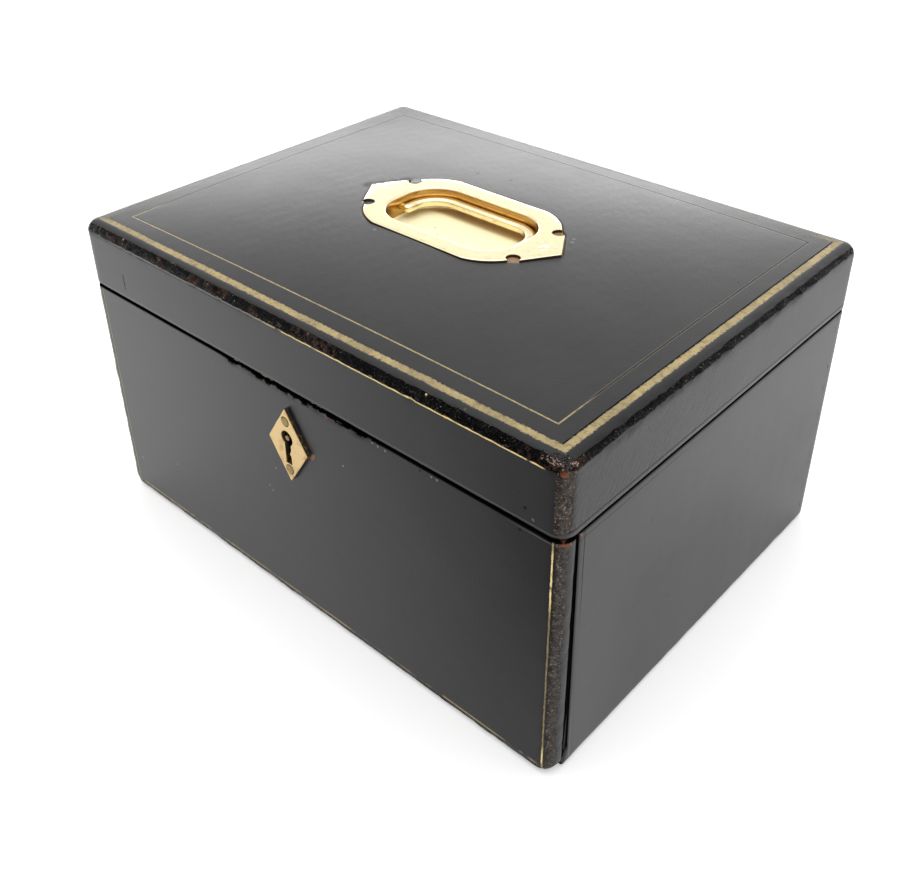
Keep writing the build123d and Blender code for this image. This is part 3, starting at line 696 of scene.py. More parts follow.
    # painted shade and painted sheen in the shine's strength: lower towards the front's right end, higher
    # towards the back of the top, and lower towards its near right corner
    level = 0.4 - front * x * 0.002 + top * fade(y, -110.0, 60.0) * 0.14
    painted_top_dimming = calc("MAXIMUM", near, 0.0) * 0.2
    return {
        "gilt": most(broad, thin * thin_kept),
        "bright": most(low_gold * 0.9, surface.spots(blisters, 0.8)),
        "groove": most(dark, thin * (1 - thin_kept), groove_low, low_dark),
        "crazed": crazed,
        "furred": furred,
        "worn": most(worn, scratch, left_top),
        "copper": most(apex, flake),
        "crumbs": lumps * over_rim,
        # pale: real specks and rubs, the worn low line, and painted highlights on the lip and beside the
        # thin line
        "pale": most(light, painted_lip_highlight, thin_lit, low_pale * 0.7),
        "dark": most(surface.spots(holes, 0.9), surface.spots(smears, 4.8)),
        "seam": lip,
        "creased": strokes * creased,
        "polish": level * (1 - top * painted_top_dimming),
    }


def flap_tooling(surface):
    """The falling front's lines: upright gold lines near its ends and one along its foot."""
    x, y, z = surface.x, surface.y, surface.z
    right_line_x = 145.1
    left_line_x = -142.2
    foot_line_z = 5.6
    rim_z = 127.9
    front = on_face(y + HALF_Y)
    shaken = x + (surface.cloud(1.2, 4) - 0.5) * 0.6
    ends = most(line(z, 110.0, 14.0, 6.0), line(z, 11.0, 5.0, 4.0))
    right_line = line(shaken, right_line_x, 0.32) * front
    left_line = line(shaken, left_line_x, 0.3) * front
    foot_line = line(z, foot_line_z, 0.45, 0.2) * front * line(x, 2.0, 140.0, 3.0)
    foot_line = foot_line * fade(surface.cloud(12, 4), 0.36, 0.55)

    right_front = fade(x, 144.9, 146.6) * fade(y, -108.6, -110.8) * 0.66
    left_front = corner_band(surface, -1, -1) * 0.35
    low = fade(z, 5.0, 3.2) * fade(surface.cloud(9, 3), 0.36, 0.5)
    low_corner = fade(x, 142.0, 145.0) * fade(z, 9.0, 4.0)
    torn_span = fade(x, -46.0, -38.0) * fade(x, 62.0, 44.0) * front
    fuzz = surface.cloud(4.5, 4, 0.6)
    tear = torn_span * fade(z, 125.6, 127.4) * fade(fuzz, 0.46, 0.58)
    chewed = torn_span * fade(fuzz, 0.36, 0.6)
    smear = fade(surface.cloud(5.5, 4, 0.65, (0.6, 1, 1)), 0.38, 0.62)
    smudge = torn_span * fade(z, 123.6, 127.8) * smear * 0.75
    tip = fade(x, 146.0, 148.0) * fade(y, -108.0, -110.0) * fade(fuzz, 0.4, 0.5)
    copper = tip * fade(z, 126.2, 127.6)
    flakes = [(27.3, -113.6, 128.0), (25.6, -113.9, 127.2), (14.6, -114.0, 100.6), (13.6, -114.0, 98.8)]
    specks = [
        (-135.5, -114.0, 23.8), (-100.7, -114.0, 36.8), (-13.5, -114.0, 79.6), (-19.9, -114.0, 66.1),
        (-18.0, -114.0, 64.1), (34.2, -114.0, 105.5), (53.3, -114.0, 127.0), (56.5, -114.0, 126.8),
        (60.7, -114.0, 126.9), (86.0, -114.0, 127.0), (89.0, -114.0, 126.9),
    ]
    holes = [(130.2, -114.0, 125.9), (80.1, -114.0, 127.0)]
    # painted highlight: a pale line under the falling front's top lip, near its right end
    painted_rim_highlight = line(z, rim_z - 0.5, 0.2) * front * fade(x, 120.0, 140.0) * 0.5
    from_middle = size_of(x)
    outer = most(fade(y, -111.0, -112.4), fade(from_middle, 147.6, 148.8))
    # painted shade: the top lip, reaching lower where it is chewed, and the back ends beside the slit are
    # black like the gaps next to them
    seam = fade(z + chewed * 1.3, rim_z, rim_z + 0.7) * outer
    behind = fade(y, -107.2, -106.7) * fade(from_middle, 148.4, 149.2)
    return {
        "gilt": most(right_line * 0.62, left_line * 0.7, foot_line),
        "bright": right_line * ends * fade(surface.cloud(6, 3), 0.36, 0.48),
        "groove": line(shaken, left_line_x - 0.8, 0.25) * front * 0.6,
        "crazed": most(low * 0.5, tear * 0.8),
        "furred": tear,
        "worn": most(right_front, left_front, low, low_corner),
        "copper": most(copper, surface.spots(flakes, 1.3)),
        "crumbs": most(tear * 0.35, low_corner * 0.5),
        "pale": most(surface.spots(specks, 0.65) * 0.75, painted_rim_highlight),
        "dark": most(surface.spots(holes, 0.8), smudge),
        "seam": most(seam, behind),
        # painted shade: the front's shine falls from its left end to its right, more steeply near the top
        "polish": 0.4 - front * x * (0.0015 + z * 0.000006),
    }


def case_tooling(surface):
    """The base's blind lines: under the seam, behind the slit and down the back of each side."""
    x, y, z = surface.x, surface.y, surface.z
    seam_line_z = 125.8
    back_line_y = 103.5
    inside, in_x, _ = edge_distance(surface)
    side = on_face(in_x)
    from_slit = y - (-102.72 - z * 0.01536)
    under = line(z, seam_line_z, 0.16, 0.14) * side * fade(y, 30.0, -60.0) * 0.7
    behind = line(from_slit, 3.4, 0.16, 0.14) * side * fade(z, 60.0, 110.0)
    dashes = fade(surface.cloud(3.5, 3, 0.6, (1, 1, 0.4)), 0.5, 0.6)
    back = line(y, back_line_y, 0.35, 0.3) * side * dashes
    corners = most(corner_band(surface, 1, 1), corner_band(surface, -1, 1))
    low = fade(z, 4.0, 1.8)
    edges = most(low, corners) * fade(surface.cloud(9, 3), 0.46, 0.6)
    nicks = surface.spots([(150.0, -56.1, 60.5), (150.0, -33.0, 46.0), (150.0, -52.9, 102.3)], 0.7)
    # painted shade: black inside the slit and on the rim's lip, like the gaps there
    painted_slit_shade = fade(from_slit, 0.55, 0.25) * fade(z, 8.0, 12.0) * side
    rim = fade(z, 128.5, 129.0) * fade(inside, 2.2, 1.2)
    # painted shade: the side's shine is lowered towards its front and lower down
    painted_side_shade = fade(y, -95.0, -50.0) * fade(z, 118.0, 60.0) * 0.13
    return {
        "groove": most(under, behind, back),
        "crazed": low * 0.6,
        "worn": edges * 0.42,
        "copper": surface.spots([(149.9, -103.2, 128.0)], 1.0),
        # painted highlight: a pale line on the side along the slit's edge, stronger low down
        "pale": line(from_slit, 1.5, 0.35, 0.35) * side * fade(z, 50.0, 12.0) * 0.45,
        "dark": nicks,
        "seam": most(rim, painted_slit_shade),
        "polish": 0.45 - painted_side_shade,
    }


def brass_finish(name, tint="brass", rough=0.16, tarnish=0.35, tones=None):
    """Brass with fine scratches and dull spots.

    tones is a function of the surface that gives masks by name: grime (black dirt and darker
    edges), deep (a darker, more orange brass: painted shade in the handle's recess and under its
    bail, and the keyhole plate's darker sides) and matt (a rougher, paler part).
    """
    brown = (0.36, 0.2, 0.07, 1)
    hollow = (0.5, 0.27, 0.06, 1)
    pale = (0.97, 0.91, 0.62, 1)
    black = (0.022, 0.016, 0.012, 1)
    surface = Surface(name)
    dull = fade(surface.cloud(5, 4, 0.6), 0.5, 0.75)
    body = blend_colours(dull * tarnish, colour(tint), brown)
    scratches = surface.cloud(0.8, 3, 0.7, (0.06, 1, 1))
    roughness = dull * 0.1 + scratches * 0.1 + rough
    metal = 1.0
    if tones:
        marks = tones(surface)
        # deep: painted shade, a darker and more orange brass in the handle's recess and under its bail; it
        # also darkens the keyhole plate's sides
        body = blend_colours(marks["deep"], body, hollow)
        body = blend_colours(marks["matt"], body, pale)
        grime = fade(marks["grime"] + (surface.cloud(1.6, 4, 0.65) - 0.5), 0.42, 0.6)
        body = blend_colours(grime, body, black)
        metal = calc("SUBTRACT", 1.0, grime * 0.8 + marks["matt"] * 0.5, clamp=True)
        roughness = roughness + most(marks["matt"], grime) * 0.26
    normal = surface.relief((scratches, 0.012), (surface.cloud(9, 2), 0.05))
    return surface.shade({"Base Color": body, "Metallic": metal, "Roughness": roughness, "Normal": normal})


def handle_tones(surface):
    """The handle plate's darker edge and dirt at its left tip, painted shade on its recess's wall and
    under the bail, and its matt floor.
    """
    half_x, half_y, _ = recess_size()
    top = float(PLATE_HIGH[2])
    floor = float(PLATE_LOW[2]) + FLOOR_THICK
    z = surface.z
    out_x = size_of(surface.x) - (half_x + 0.5)
    out_y = size_of(surface.y) - (half_y + 0.5)
    outside = fade(calc("MAXIMUM", out_x, out_y), 0.0, 0.4)
    inner = 1 - outside
    edge = outside * fade(z, top - 0.12, top - 0.3) * 0.8
    smears = [(-61.0, 1.0, top), (-58.5, 5.5, top), (-54.5, 11.5, top), (-51.0, 16.0, top)]
    pits = [(-10.0, -6.0, floor), (2.0, -12.0, floor), (14.0, -8.0, floor), (-16.0, -1.0, floor)]
    # painted shade: the recess's wall, darker and more orange
    painted_wall_shade = inner * fade(z, top - 0.6, top - 1.4) * fade(z, floor + 0.5, floor + 1.1)
    on_floor = inner * fade(z, floor + 0.9, floor + 0.3)
    # painted shadow: the floor next to the bail, darker, more orange and less pale
    painted_bail_shadow = fade(surface.y, half_y - 12, half_y - 7)
    return {
        "grime": most(edge, surface.spots(smears, 2.8), surface.spots(pits, 0.4)),
        "deep": most(painted_wall_shade * 0.9, on_floor * painted_bail_shadow * 0.45),
        "matt": on_floor * (1 - painted_bail_shadow * 0.6),
    }


def keyhole_tones(surface):
    """The keyhole plate's dark sides and the dirt round its pins."""
    face = float(span("escutcheon")[0][1])
    pin_low, pin_high = span("escutcheon_pins")
    side = fade(surface.y, face + 0.2, face + 0.6)
    rings = []
    for height in (pin_low[2] + PIN_RADIUS, pin_high[2] - PIN_RADIUS):
        lift = surface.z - float(height)
        away = calc("SQRT", surface.x * surface.x + lift * lift)
        rings.append(line(away, PIN_RADIUS + 0.2, 0.22))
    return {"grime": most(side * 0.62, most(*rings) * 0.75), "deep": side, "matt": surface.x * 0.0}


def steel_finish(name):
    """Plain steel with a fine file grain."""
    surface = Surface(name)
    rust = fade(surface.cloud(2.5, 4, 0.6), 0.55, 0.75)
    return surface.shade(
        {
            "Base Color": blend_colours(rust, (0.42, 0.41, 0.4, 1), (0.13, 0.08, 0.05, 1)),
            "Metallic": 1.0,
            "Roughness": 0.36,
            "Normal": surface.relief((surface.cloud(0.5, 2, 0.6, (1, 1, 6)), 0.01)),
        }
    )


def wood_finish(name, tint, along="x", rough=0.38):
    """Boards with growth rings stretched along the grain, fine pores and a thin polish."""
    surface = Surface(name)
    stretch = {"x": (0.05, 1, 1), "y": (1, 0.05, 1)}[along]
    rings = calc("FRACT", surface.cloud(7, 5, 0.6, stretch) * 7.0)
    bands = fade(size_of(rings - 0.5), 0.05, 0.5)
    pores = fade(surface.cloud(0.7, 3, 0.7, stretch), 0.55, 0.72)
    dark = darker(tint, 0.45)
    body = blend_colours(bands * 0.55, colour(tint), dark)
    return surface.shade(
        {
            "Base Color": blend_colours(pores * 0.6, body, dark),
            "Roughness": rough + pores * 0.25,
            "Normal": surface.relief((1 - pores, 0.05)),
        }
    )


def velvet_finish(name):
    """Cut pile that is bright at a glancing angle, with brushed lighter and darker patches."""
    surface = Surface(name)
    pile = surface.cloud(0.45, 2, 0.7)
    deep = darker("velvet", 0.45)
    body = blend_colours(fade(surface.cloud(16, 3, 0.5), 0.35, 0.7), deep, colour("velvet"))
    return surface.shade(
        {
            "Base Color": blend_colours(fade(pile, 0.35, 0.7), deep, body),
            "Roughness": 0.95,
            "Specular IOR Level": 0.1,
            "Sheen Weight": 0.7,
            "Sheen Roughness": 0.35,
            "Sheen Tint": (0.75, 0.28, 0.36, 1),
            "Normal": surface.relief((pile, 0.25)),
        }
    )


def satin_finish(name):
    """Silk satin: fine threads across the piece, glossy, with soft creases."""
    surface = Surface(name)
    threads = surface.cloud(0.4, 2, 0.6, (0.05, 1, 1))
    tone = fade(surface.cloud(30, 2), 0.3, 0.7)
    creases = surface.cloud(9, 2, 0.4, (0.6, 1, 1))
    return surface.shade(
        {
            "Base Color": blend_colours(tone, darker("satin", 0.82), colour("satin")),
            "Roughness": 0.3 + threads * 0.18,
            "Sheen Weight": 0.3,
            "Anisotropic": 0.5,
            "Normal": surface.relief((threads, 0.03), (creases, 0.5)),
        }
    )


def baize_finish(name):
    """Felted wool cloth."""
    surface = Surface(name)
    fluff = surface.cloud(0.6, 4, 0.75)
    return surface.shade(
        {
            "Base Color": blend_colours(fluff, darker("baize", 0.5), colour("baize")),
            "Roughness": 1.0,
            "Sheen Weight": 0.4,
            "Normal": surface.relief((fluff, 0.3)),
        }
    )


# Leather pieces


def dome(x, y, s):
    """The lid's crown: a product of two parabolas that is zero at the edge rounds."""
    across = np.clip(1 - (x / (HALF_X - s["top_radius"])) ** 2, 0, 1)
    along = np.clip(1 - (y / (HALF_Y - s["top_radius"])) ** 2, 0, 1)
    return s["crown"] * across * along


def circle_through(a, b, c):
    """The centre and radius of the circle through three points of a plane."""
    ax, ay = np.subtract(b, a)
    bx, by = np.subtract(c, a)
    double = 2 * (ax * by - ay * bx)
    x = (by * (ax**2 + ay**2) - ay * (bx**2 + by**2)) / double
    y = (ax * (bx**2 + by**2) - bx * (ax**2 + ay**2)) / double
    return a[0] + x, a[1] + y, math.hypot(x, y)


def arc_through(a, b, c, steps):
    """Points on the arc from a over b to c."""
    x, y, radius = circle_through(a, b, c)
    turns = [math.degrees(math.atan2(p[1] - y, p[0] - x)) for p in (a, b, c)]
    first = (turns[1] - turns[0]) % 360
    whole = (turns[2] - turns[0]) % 360
    if first > whole:
        whole -= 360
    return arc(x, y, radius, turns[0], turns[0] + whole, steps)


def grow_ring(ring, distance):
    """A closed plane outline moved outward by a distance along its own normals."""
    ahead = np.roll(ring, -1, 0) - np.roll(ring, 1, 0)
    normal = np.stack([ahead[:, 1], -ahead[:, 0]], -1)
    return ring + distance * normal / np.linalg.norm(normal, axis=1, keepdims=True)


def plate_quarter():
    """The handle plate's edge from the +X axis to the +Y axis, with a straight run over each bite."""
    tip = (PLATE_HIGH[0] - 1.6, 0.0)
    flat = (27.8, PLATE_HIGH[1])
    sweep = arc_through(BITE[2], (38.1, 27.4), flat, 10)
    return np.concatenate([[tip, BITE[0]], sweep, [(0.0, PLATE_HIGH[1])]])


def plate_ring(count):
    """The whole edge of the handle plate with that many points to a quarter."""
    return quarters(plate_quarter(), count)


def lid_ring(inset, z, s):
    """A ring of the lid drawn in by an inset, its corners' round too, started at the +X axis."""
    radius = max(s["corner_radius"] - inset, 0.7)
    ring = plan_ring(HALF_X - inset, HALF_Y - inset, radius, z)
    score = np.abs(ring[:, 1]) - ring[:, 0] * 10
    return np.roll(ring, -int(np.argmin(score)), 0)


def hinge_groove(points, s):
    """Draws the back edges in: a bevel that stops the lid, and round grooves for the hinge knuckles."""
    bevel = math.tan(math.radians(49.5))
    half_length = 15.3
    groove = 2.6
    low, high = span("lid_hinge_pins")
    axis = (low[1:] + high[1:]) / 2
    run = np.maximum(points[:, 1] - axis[0], 0) * bevel
    lifted = np.maximum(points[:, 2], axis[1] + run)
    lowered = np.minimum(points[:, 2], axis[1] - run)
    drawn = np.where(points[:, 2] > axis[1], lifted, lowered)
    points[:, 2] = np.where(points[:, 1] > axis[0], drawn, points[:, 2])
    knuckle = np.abs(np.abs(points[:, 0]) - HINGE_X) < half_length
    away = points[:, 1:] - axis
    reach = np.linalg.norm(away, axis=1)
    near = knuckle & (reach < groove)
    push = away / np.maximum(reach, 1e-6)[:, None] * groove
    points[near, 1:] = (axis + push)[near]
    return points


def lid_skin(s):
    """The lid's leather as one closed tube: out over the top, down the side, in under the rim and back.

    Each ring is the box's plan drawn in by an inset at a height; between the handle plate's edge
    and the shoulder the rings pass in straight lines from one outline to the other. A leather
    disc fills each of the plate's four bites.
    """
    edge = CROWN_TOP - s["crown"]
    low = LID_LOW[2]
    shoulder = 22
    thick = s["leather"]
    outer = lid_ring(shoulder, 0, s)
    plate = plate_ring(len(outer) // 4)

    def crowned(flat, drop=0.0):
        return np.column_stack([flat[:, :2], edge - drop + dome(flat[:, 0], flat[:, 1], s)])

    rings = [crowned(grow_ring(plate, 0.3), 1.0), crowned(grow_ring(plate, 0.5), 0.3)]
    hole = grow_ring(plate, 0.9)
    for t in np.linspace(0, 1, 56) ** 1.15:
        rings.append(crowned(hole * (1 - t) + outer[:, :2] * t))
    for inset in np.linspace(shoulder, s["top_radius"], 14)[1:]:
        rings.append(crowned(lid_ring(inset, 0, s)))
    for a in np.radians(np.linspace(0, 90, 15)[1:]):
        inset = s["top_radius"] * (1 - math.sin(a))
        rings.append(lid_ring(inset, edge - s["top_radius"] * (1 - math.cos(a)), s))
    for z in np.linspace(edge - s["top_radius"], low + s["lip"], 19)[1:]:
        rings.append(lid_ring(0, z, s))
    for a in np.radians(np.linspace(0, 90, 5)[1:]):
        inset = s["lip"] * (1 - math.cos(a))
        rings.append(lid_ring(inset, low + s["lip"] * (1 - math.sin(a)), s))
    for inset in (3, 5, 7, TURN_IN):
        rings.append(lid_ring(inset, low, s))
    outside = len(rings)
    rings.append(lid_ring(TURN_IN, low + thick, s))
    rings.append(lid_ring(thick, low + thick, s))
    rings.append(lid_ring(thick, edge - s["top_radius"], s))
    reach = s["top_radius"] - thick
    for a in np.radians((30, 60, 90)):
        inset = thick + reach * (1 - math.cos(a))
        rings.append(lid_ring(inset, edge - s["top_radius"] + reach * math.sin(a), s))
    for t in (1, 0.5, 0):
        rings.append(crowned(grow_ring(plate, 0.3) * (1 - t) + outer[:, :2] * t, thick))
    rings = np.stack(rings)
    shown = np.zeros(rings.shape[:2])
    shown[3 : outside - 1] = 1
    flat = rings.reshape(-1, 3)
    lump = waves(flat, 8, 11) + 0.7 * waves(flat, 3.2, 12) + 0.4 * waves(flat, 1.6, 13)
    inside = np.minimum(HALF_X - np.abs(flat[:, 0]), HALF_Y - np.abs(flat[:, 1]))
    near = flat[:, 0] / HALF_X - flat[:, 1] / HALF_Y
    round_part = smooth(-inside, -4.5, -1.5) * smooth(flat[:, 2], edge - 8, edge - 4)
    worn = round_part * (0.35 + 0.65 * smooth(near, -0.3, 0.5))
    face = 0.12 * waves(flat, 45, 14) * smooth(inside, 12, 30)
    amount = s["lump"] * (0.1 + 1.9 * worn)
    normal = ring_normals(rings).reshape(-1, 3)
    flat = flat + normal * ((lump * amount + face * 0.5) * shown.reshape(-1))[:, None]
    flat = hinge_groove(flat, s)
    flat = np.clip(flat, [-HALF_X, -HALF_Y, low], [HALF_X, HALF_Y, CROWN_TOP])
    x, y, radius = circle_through(*BITE)
    profile = [(radius + 0.8, -1.1), (radius + 0.8, -0.2), (radius + 0.6, -0.05), (0.02, -0.04)]
    disc = lathe(profile, 40)
    discs = []
    for side_x in (-1, 1):
        for side_y in (-1, 1):
            points, faces = turned(disc, np.eye(3), (side_x * x, side_y * y, edge))
            points[:, 2] += dome(points[:, 0], points[:, 1], s)
            discs.append((points, faces))
    return join(skin_of(flat.reshape(rings.shape)), *discs)


def slit_line(z):
    """The front of the base's side walls at a height: a slanted edge, then a toe round the flap's foot."""
    back = FLAP_HIGH[1]
    axis_y = FLAP_MIDDLE
    axis_z = CASE_LOW[2] + FLAP_HALF
    reach = FLAP_HALF + TOE_GAP
    upper = back + np.interp(z, [12, CASE_HIGH[2]], [2.8, 1.0])
    middle = np.interp(z, [axis_z, 12], [axis_y + reach, back + 2.8])
    toe = axis_y + np.sqrt(np.maximum(reach**2 - (axis_z - np.minimum(z, axis_z)) ** 2, 0))
    return float(np.where(z > 12, upper, np.where(z > axis_z, middle, toe)))


def case_path(inset, z, s):
    """The base's plan as an open line: in from one slit edge, round by the back, out to the other."""
    front = slit_line(z) + inset
    x = HALF_X - inset
    y = HALF_Y - inset
    wall = HALF_X - max(inset, TURN_IN)
    small = max(s["lip"] - inset, 0.25)
    large = max(s["corner_radius"] - inset, 0.7)
    side = np.linspace(0, 1, 93)[1:-1, None]
    back = np.linspace(0, 1, 121)[1:-1, None]
    start = np.array([[wall, front], [(wall + x - small) / 2, front]])
    slit = arc(x - small, front + small, small, -90, 0, 4)
    corner = arc(x - large, y - large, large, 0, 90, 9)
    run = slit[-1] * (1 - side) + corner[0] * side
    half = np.concatenate([start, slit, run, corner])
    mirrored = half[::-1] * [-1, 1]
    run_back = corner[-1] * (1 - back) + mirrored[0] * back
    flat = np.concatenate([half, run_back, mirrored])
    return np.column_stack([flat, np.full(len(flat), z)])


def case_skin(s):
    """The base's leather: a closed section, rim to side to foot and back, carried along the open plan."""
    high = CASE_HIGH[2]
    low = CASE_LOW[2]
    rows = []
    for inset in (TURN_IN, 6.5, 4, 2.4):
        rows.append((inset, high))
    for a in np.radians(np.linspace(0, 90, 5)):
        rows.append((s["lip"] * (1 - math.sin(a)), high - s["lip"] * (1 - math.cos(a))))
    for z in np.linspace(high - s["lip"], low + s["bottom_radius"], 68)[1:]:
        rows.append((0, z))
    for a in np.radians(np.linspace(0, 90, 8)[1:]):
        radius = s["bottom_radius"]
        rows.append((radius * (1 - math.cos(a)), low + radius * (1 - math.sin(a))))
    rows += [(8, low), (14, low)]
    outside = len(rows)
    thick = s["leather"]
    rows += [(14, low + thick), (s["bottom_radius"], low + thick), (thick, low + s["bottom_radius"])]
    rows += [(thick, high / 2), (thick, high - thick), (TURN_IN, high - thick)]
    rings = np.stack([case_path(inset, z, s) for inset, z in rows])
    flat = rings.reshape(-1, 3)
    normal = ring_normals(rings)
    normal[:, 0] = 0
    normal[:, -1] = 0
    shown = np.zeros(rings.shape[:2])
    shown[1 : outside - 1] = 1
    lump = waves(flat, 14, 21) + 0.5 * waves(flat, 4, 22)
    edge = smooth(-np.minimum(HALF_X - np.abs(flat[:, 0]), HALF_Y - np.abs(flat[:, 1])), -4, -1)
    foot = smooth(-flat[:, 2], -6, -2)
    amount = s["lump"] * (0.15 + 0.3 * foot * edge) * shown.reshape(-1)
    flat = flat + normal.reshape(-1, 3) * (lump * amount)[:, None]
    flat = hinge_groove(flat, s)
    flat = np.clip(flat, [-HALF_X, -HALF_Y, low], [HALF_X, HALF_Y, high])
    return skin_of(flat.reshape(rings.shape), close_columns=False, caps=True)


def toe_skin(s):
    """The leather round the floor's front edge, a thin section carried from side wall to side wall."""
    low = CASE_LOW[2]
    thick = s["leather"]
    axis_y = FLAP_MIDDLE
    axis_z = low + FLAP_HALF
    reach = FLAP_HALF + TOE_GAP
    start = math.degrees(math.asin((axis_z - low) / reach))
    top = (axis_y + reach + 0.3, axis_z + 3)
    foot = (axis_y + 14, low)
    outer = np.concatenate([[top], arc(axis_y, axis_z, reach, 0, -start, 8), [foot]])
    curve = arc(axis_y, axis_z, reach + thick, 0, -start + 12, 8)
    inner = np.concatenate([[(top[0] + thick, top[1])], curve, [(foot[0], low + thick)]])
    outline = np.concatenate([outer, inner[::-1]])
    wall = HALF_X - TURN_IN
    return prism(outline, -wall, wall, "x")


def flap_ring(z, inset, s):
    """The falling front's plan at a height: its foot is a half round and its lower corners are round."""
    middle = FLAP_MIDDLE
    half = FLAP_HALF
    low = FLAP_LOW[2]
    rise = z - low
    reach = math.sqrt(max(half**2 - max(half - rise, 0) ** 2, 0))
    corner = 8.0
    drop = corner - math.sqrt(max(corner**2 - max(corner - rise, 0) ** 2, 0))
    x = HALF_X - drop - inset
    reach = max(reach - inset, 0)
    front_round = max(min(s["corner_radius"] - inset, reach * 1.6), 0)
    back_round = max(min(0.9 - inset, reach * 0.35), 0)
    run = np.linspace(0, 1, 151)[1:-1, None]
    corners = [
        arc(-x + front_round, middle - reach + front_round, front_round, 180, 270, 8),
        arc(x - front_round, middle - reach + front_round, front_round, 270, 360, 8),
        arc(x - back_round, middle + reach - back_round, back_round, 0, 90, 3),
        arc(-x + back_round, middle + reach - back_round, back_round, 90, 180, 3),
    ]
    front = corners[0][-1] * (1 - run) + corners[1][0] * run
    back = corners[2][-1] * (1 - run) + corners[3][0] * run
    flat = np.concatenate([corners[0], front, corners[1], corners[2], back, corners[3]])
    return np.column_stack([flat, np.full(len(flat), z)])


def flap_skin(s):
    """The falling front's leather: its plan stacked from the foot's line to the middle of the rim.

    The rim's front lip is chipped: it dips by up to 0.8 mm where a smooth random line is positive.
    """
    low = FLAP_LOW[2]
    high = FLAP_HIGH[2]
    half = FLAP_HALF
    rings = []
    for a in np.radians(np.linspace(0, 90, 9)):
        rings.append(flap_ring(low + half * (1 - math.cos(a)), 0, s))
    for z in np.linspace(low + half, high - 4, 72)[1:]:
        rings.append(flap_ring(z, 0, s))
    for z in np.linspace(high - 4, high - s["lip"], 6)[1:]:
        rings.append(flap_ring(z, 0, s))
    for a in np.radians(np.linspace(0, 90, 5)[1:]):
        rings.append(flap_ring(high - s["lip"] * (1 - math.sin(a)), s["lip"] * (1 - math.cos(a)), s))
    for inset in (2.2, 3.2, half):
        ring = flap_ring(high - 0.001, inset, s)
        ring[:, 2] = high
        rings.append(ring)
    rings = np.stack(rings)
    flat = rings.reshape(-1, 3)
    normal = ring_normals(rings)
    normal[:2] = 0
    normal[-3:] = 0
    lump = waves(flat, 12, 31) + 0.5 * waves(flat, 4, 32)
    edge = smooth(-(HALF_X - np.abs(flat[:, 0])), -7, -2)
    foot = smooth(-flat[:, 2], -7, -3)
    amount = s["lump"] * (0.12 + np.maximum(edge, foot * 0.6))
    flat = flat + normal.reshape(-1, 3) * (lump * amount)[:, None]
    x = flat[:, 0]
    line_of = np.column_stack([x, np.zeros_like(x), np.zeros_like(x)])
    torn = smooth(x, -46, -38) * smooth(-x, -62, -45)
    chip = np.maximum(waves(line_of, 11, 33) + 0.6 * waves(line_of, 3, 34) + 0.5, 0) * torn
    chip += 0.25 * np.maximum(waves(line_of, 9, 35), 0)
    front = smooth(-flat[:, 1], -FLAP_LOW[1] - 3.2, -FLAP_LOW[1] - 1.2)
    rise = smooth(flat[:, 2], high - 4, high)
    flat[:, 2] -= np.minimum(chip * 0.7, 0.8) * front * rise
    flat[:, 1] += np.minimum(chip * 0.4, 0.4) * front * rise
    flat = np.clip(flat, [-HALF_X, FLAP_LOW[1], low], [HALF_X, FLAP_HIGH[1], high])
    return skin_of(flat.reshape(rings.shape), close_rows=False)


def keyhole_outline(grow=0.0, bump=0.0):
    """The keyhole, round from its foot: a straight slot under a round head, one edge bumped."""
    low, high = span("escutcheon")
    middle = (low[2] + high[2]) / 2
    head = 3.8 + grow
    half = 2.0 + grow
    centre = middle + 4.1
    foot = middle - 10.1 - grow
    turn = math.degrees(math.acos(half / head))
    head_arc = arc(0, centre, head, -turn, 180 + turn, 40)
    up = np.linspace(0, 1, 16)[:, None]
    right = np.array([[half, foot]]) * (1 - up) + head_arc[0] * up
    left = head_arc[-1] * (1 - up) + np.array([[-half, foot]]) * up
    right[:, 0] -= bump * np.exp(-(((right[:, 1] - foot - 6.3) / 1.1) ** 2))
    floor = np.linspace(-half, half, 8)[1:-1]
    base = np.column_stack([floor, np.full(6, foot)])
    return np.concatenate([right, head_arc[1:-1], left, base])


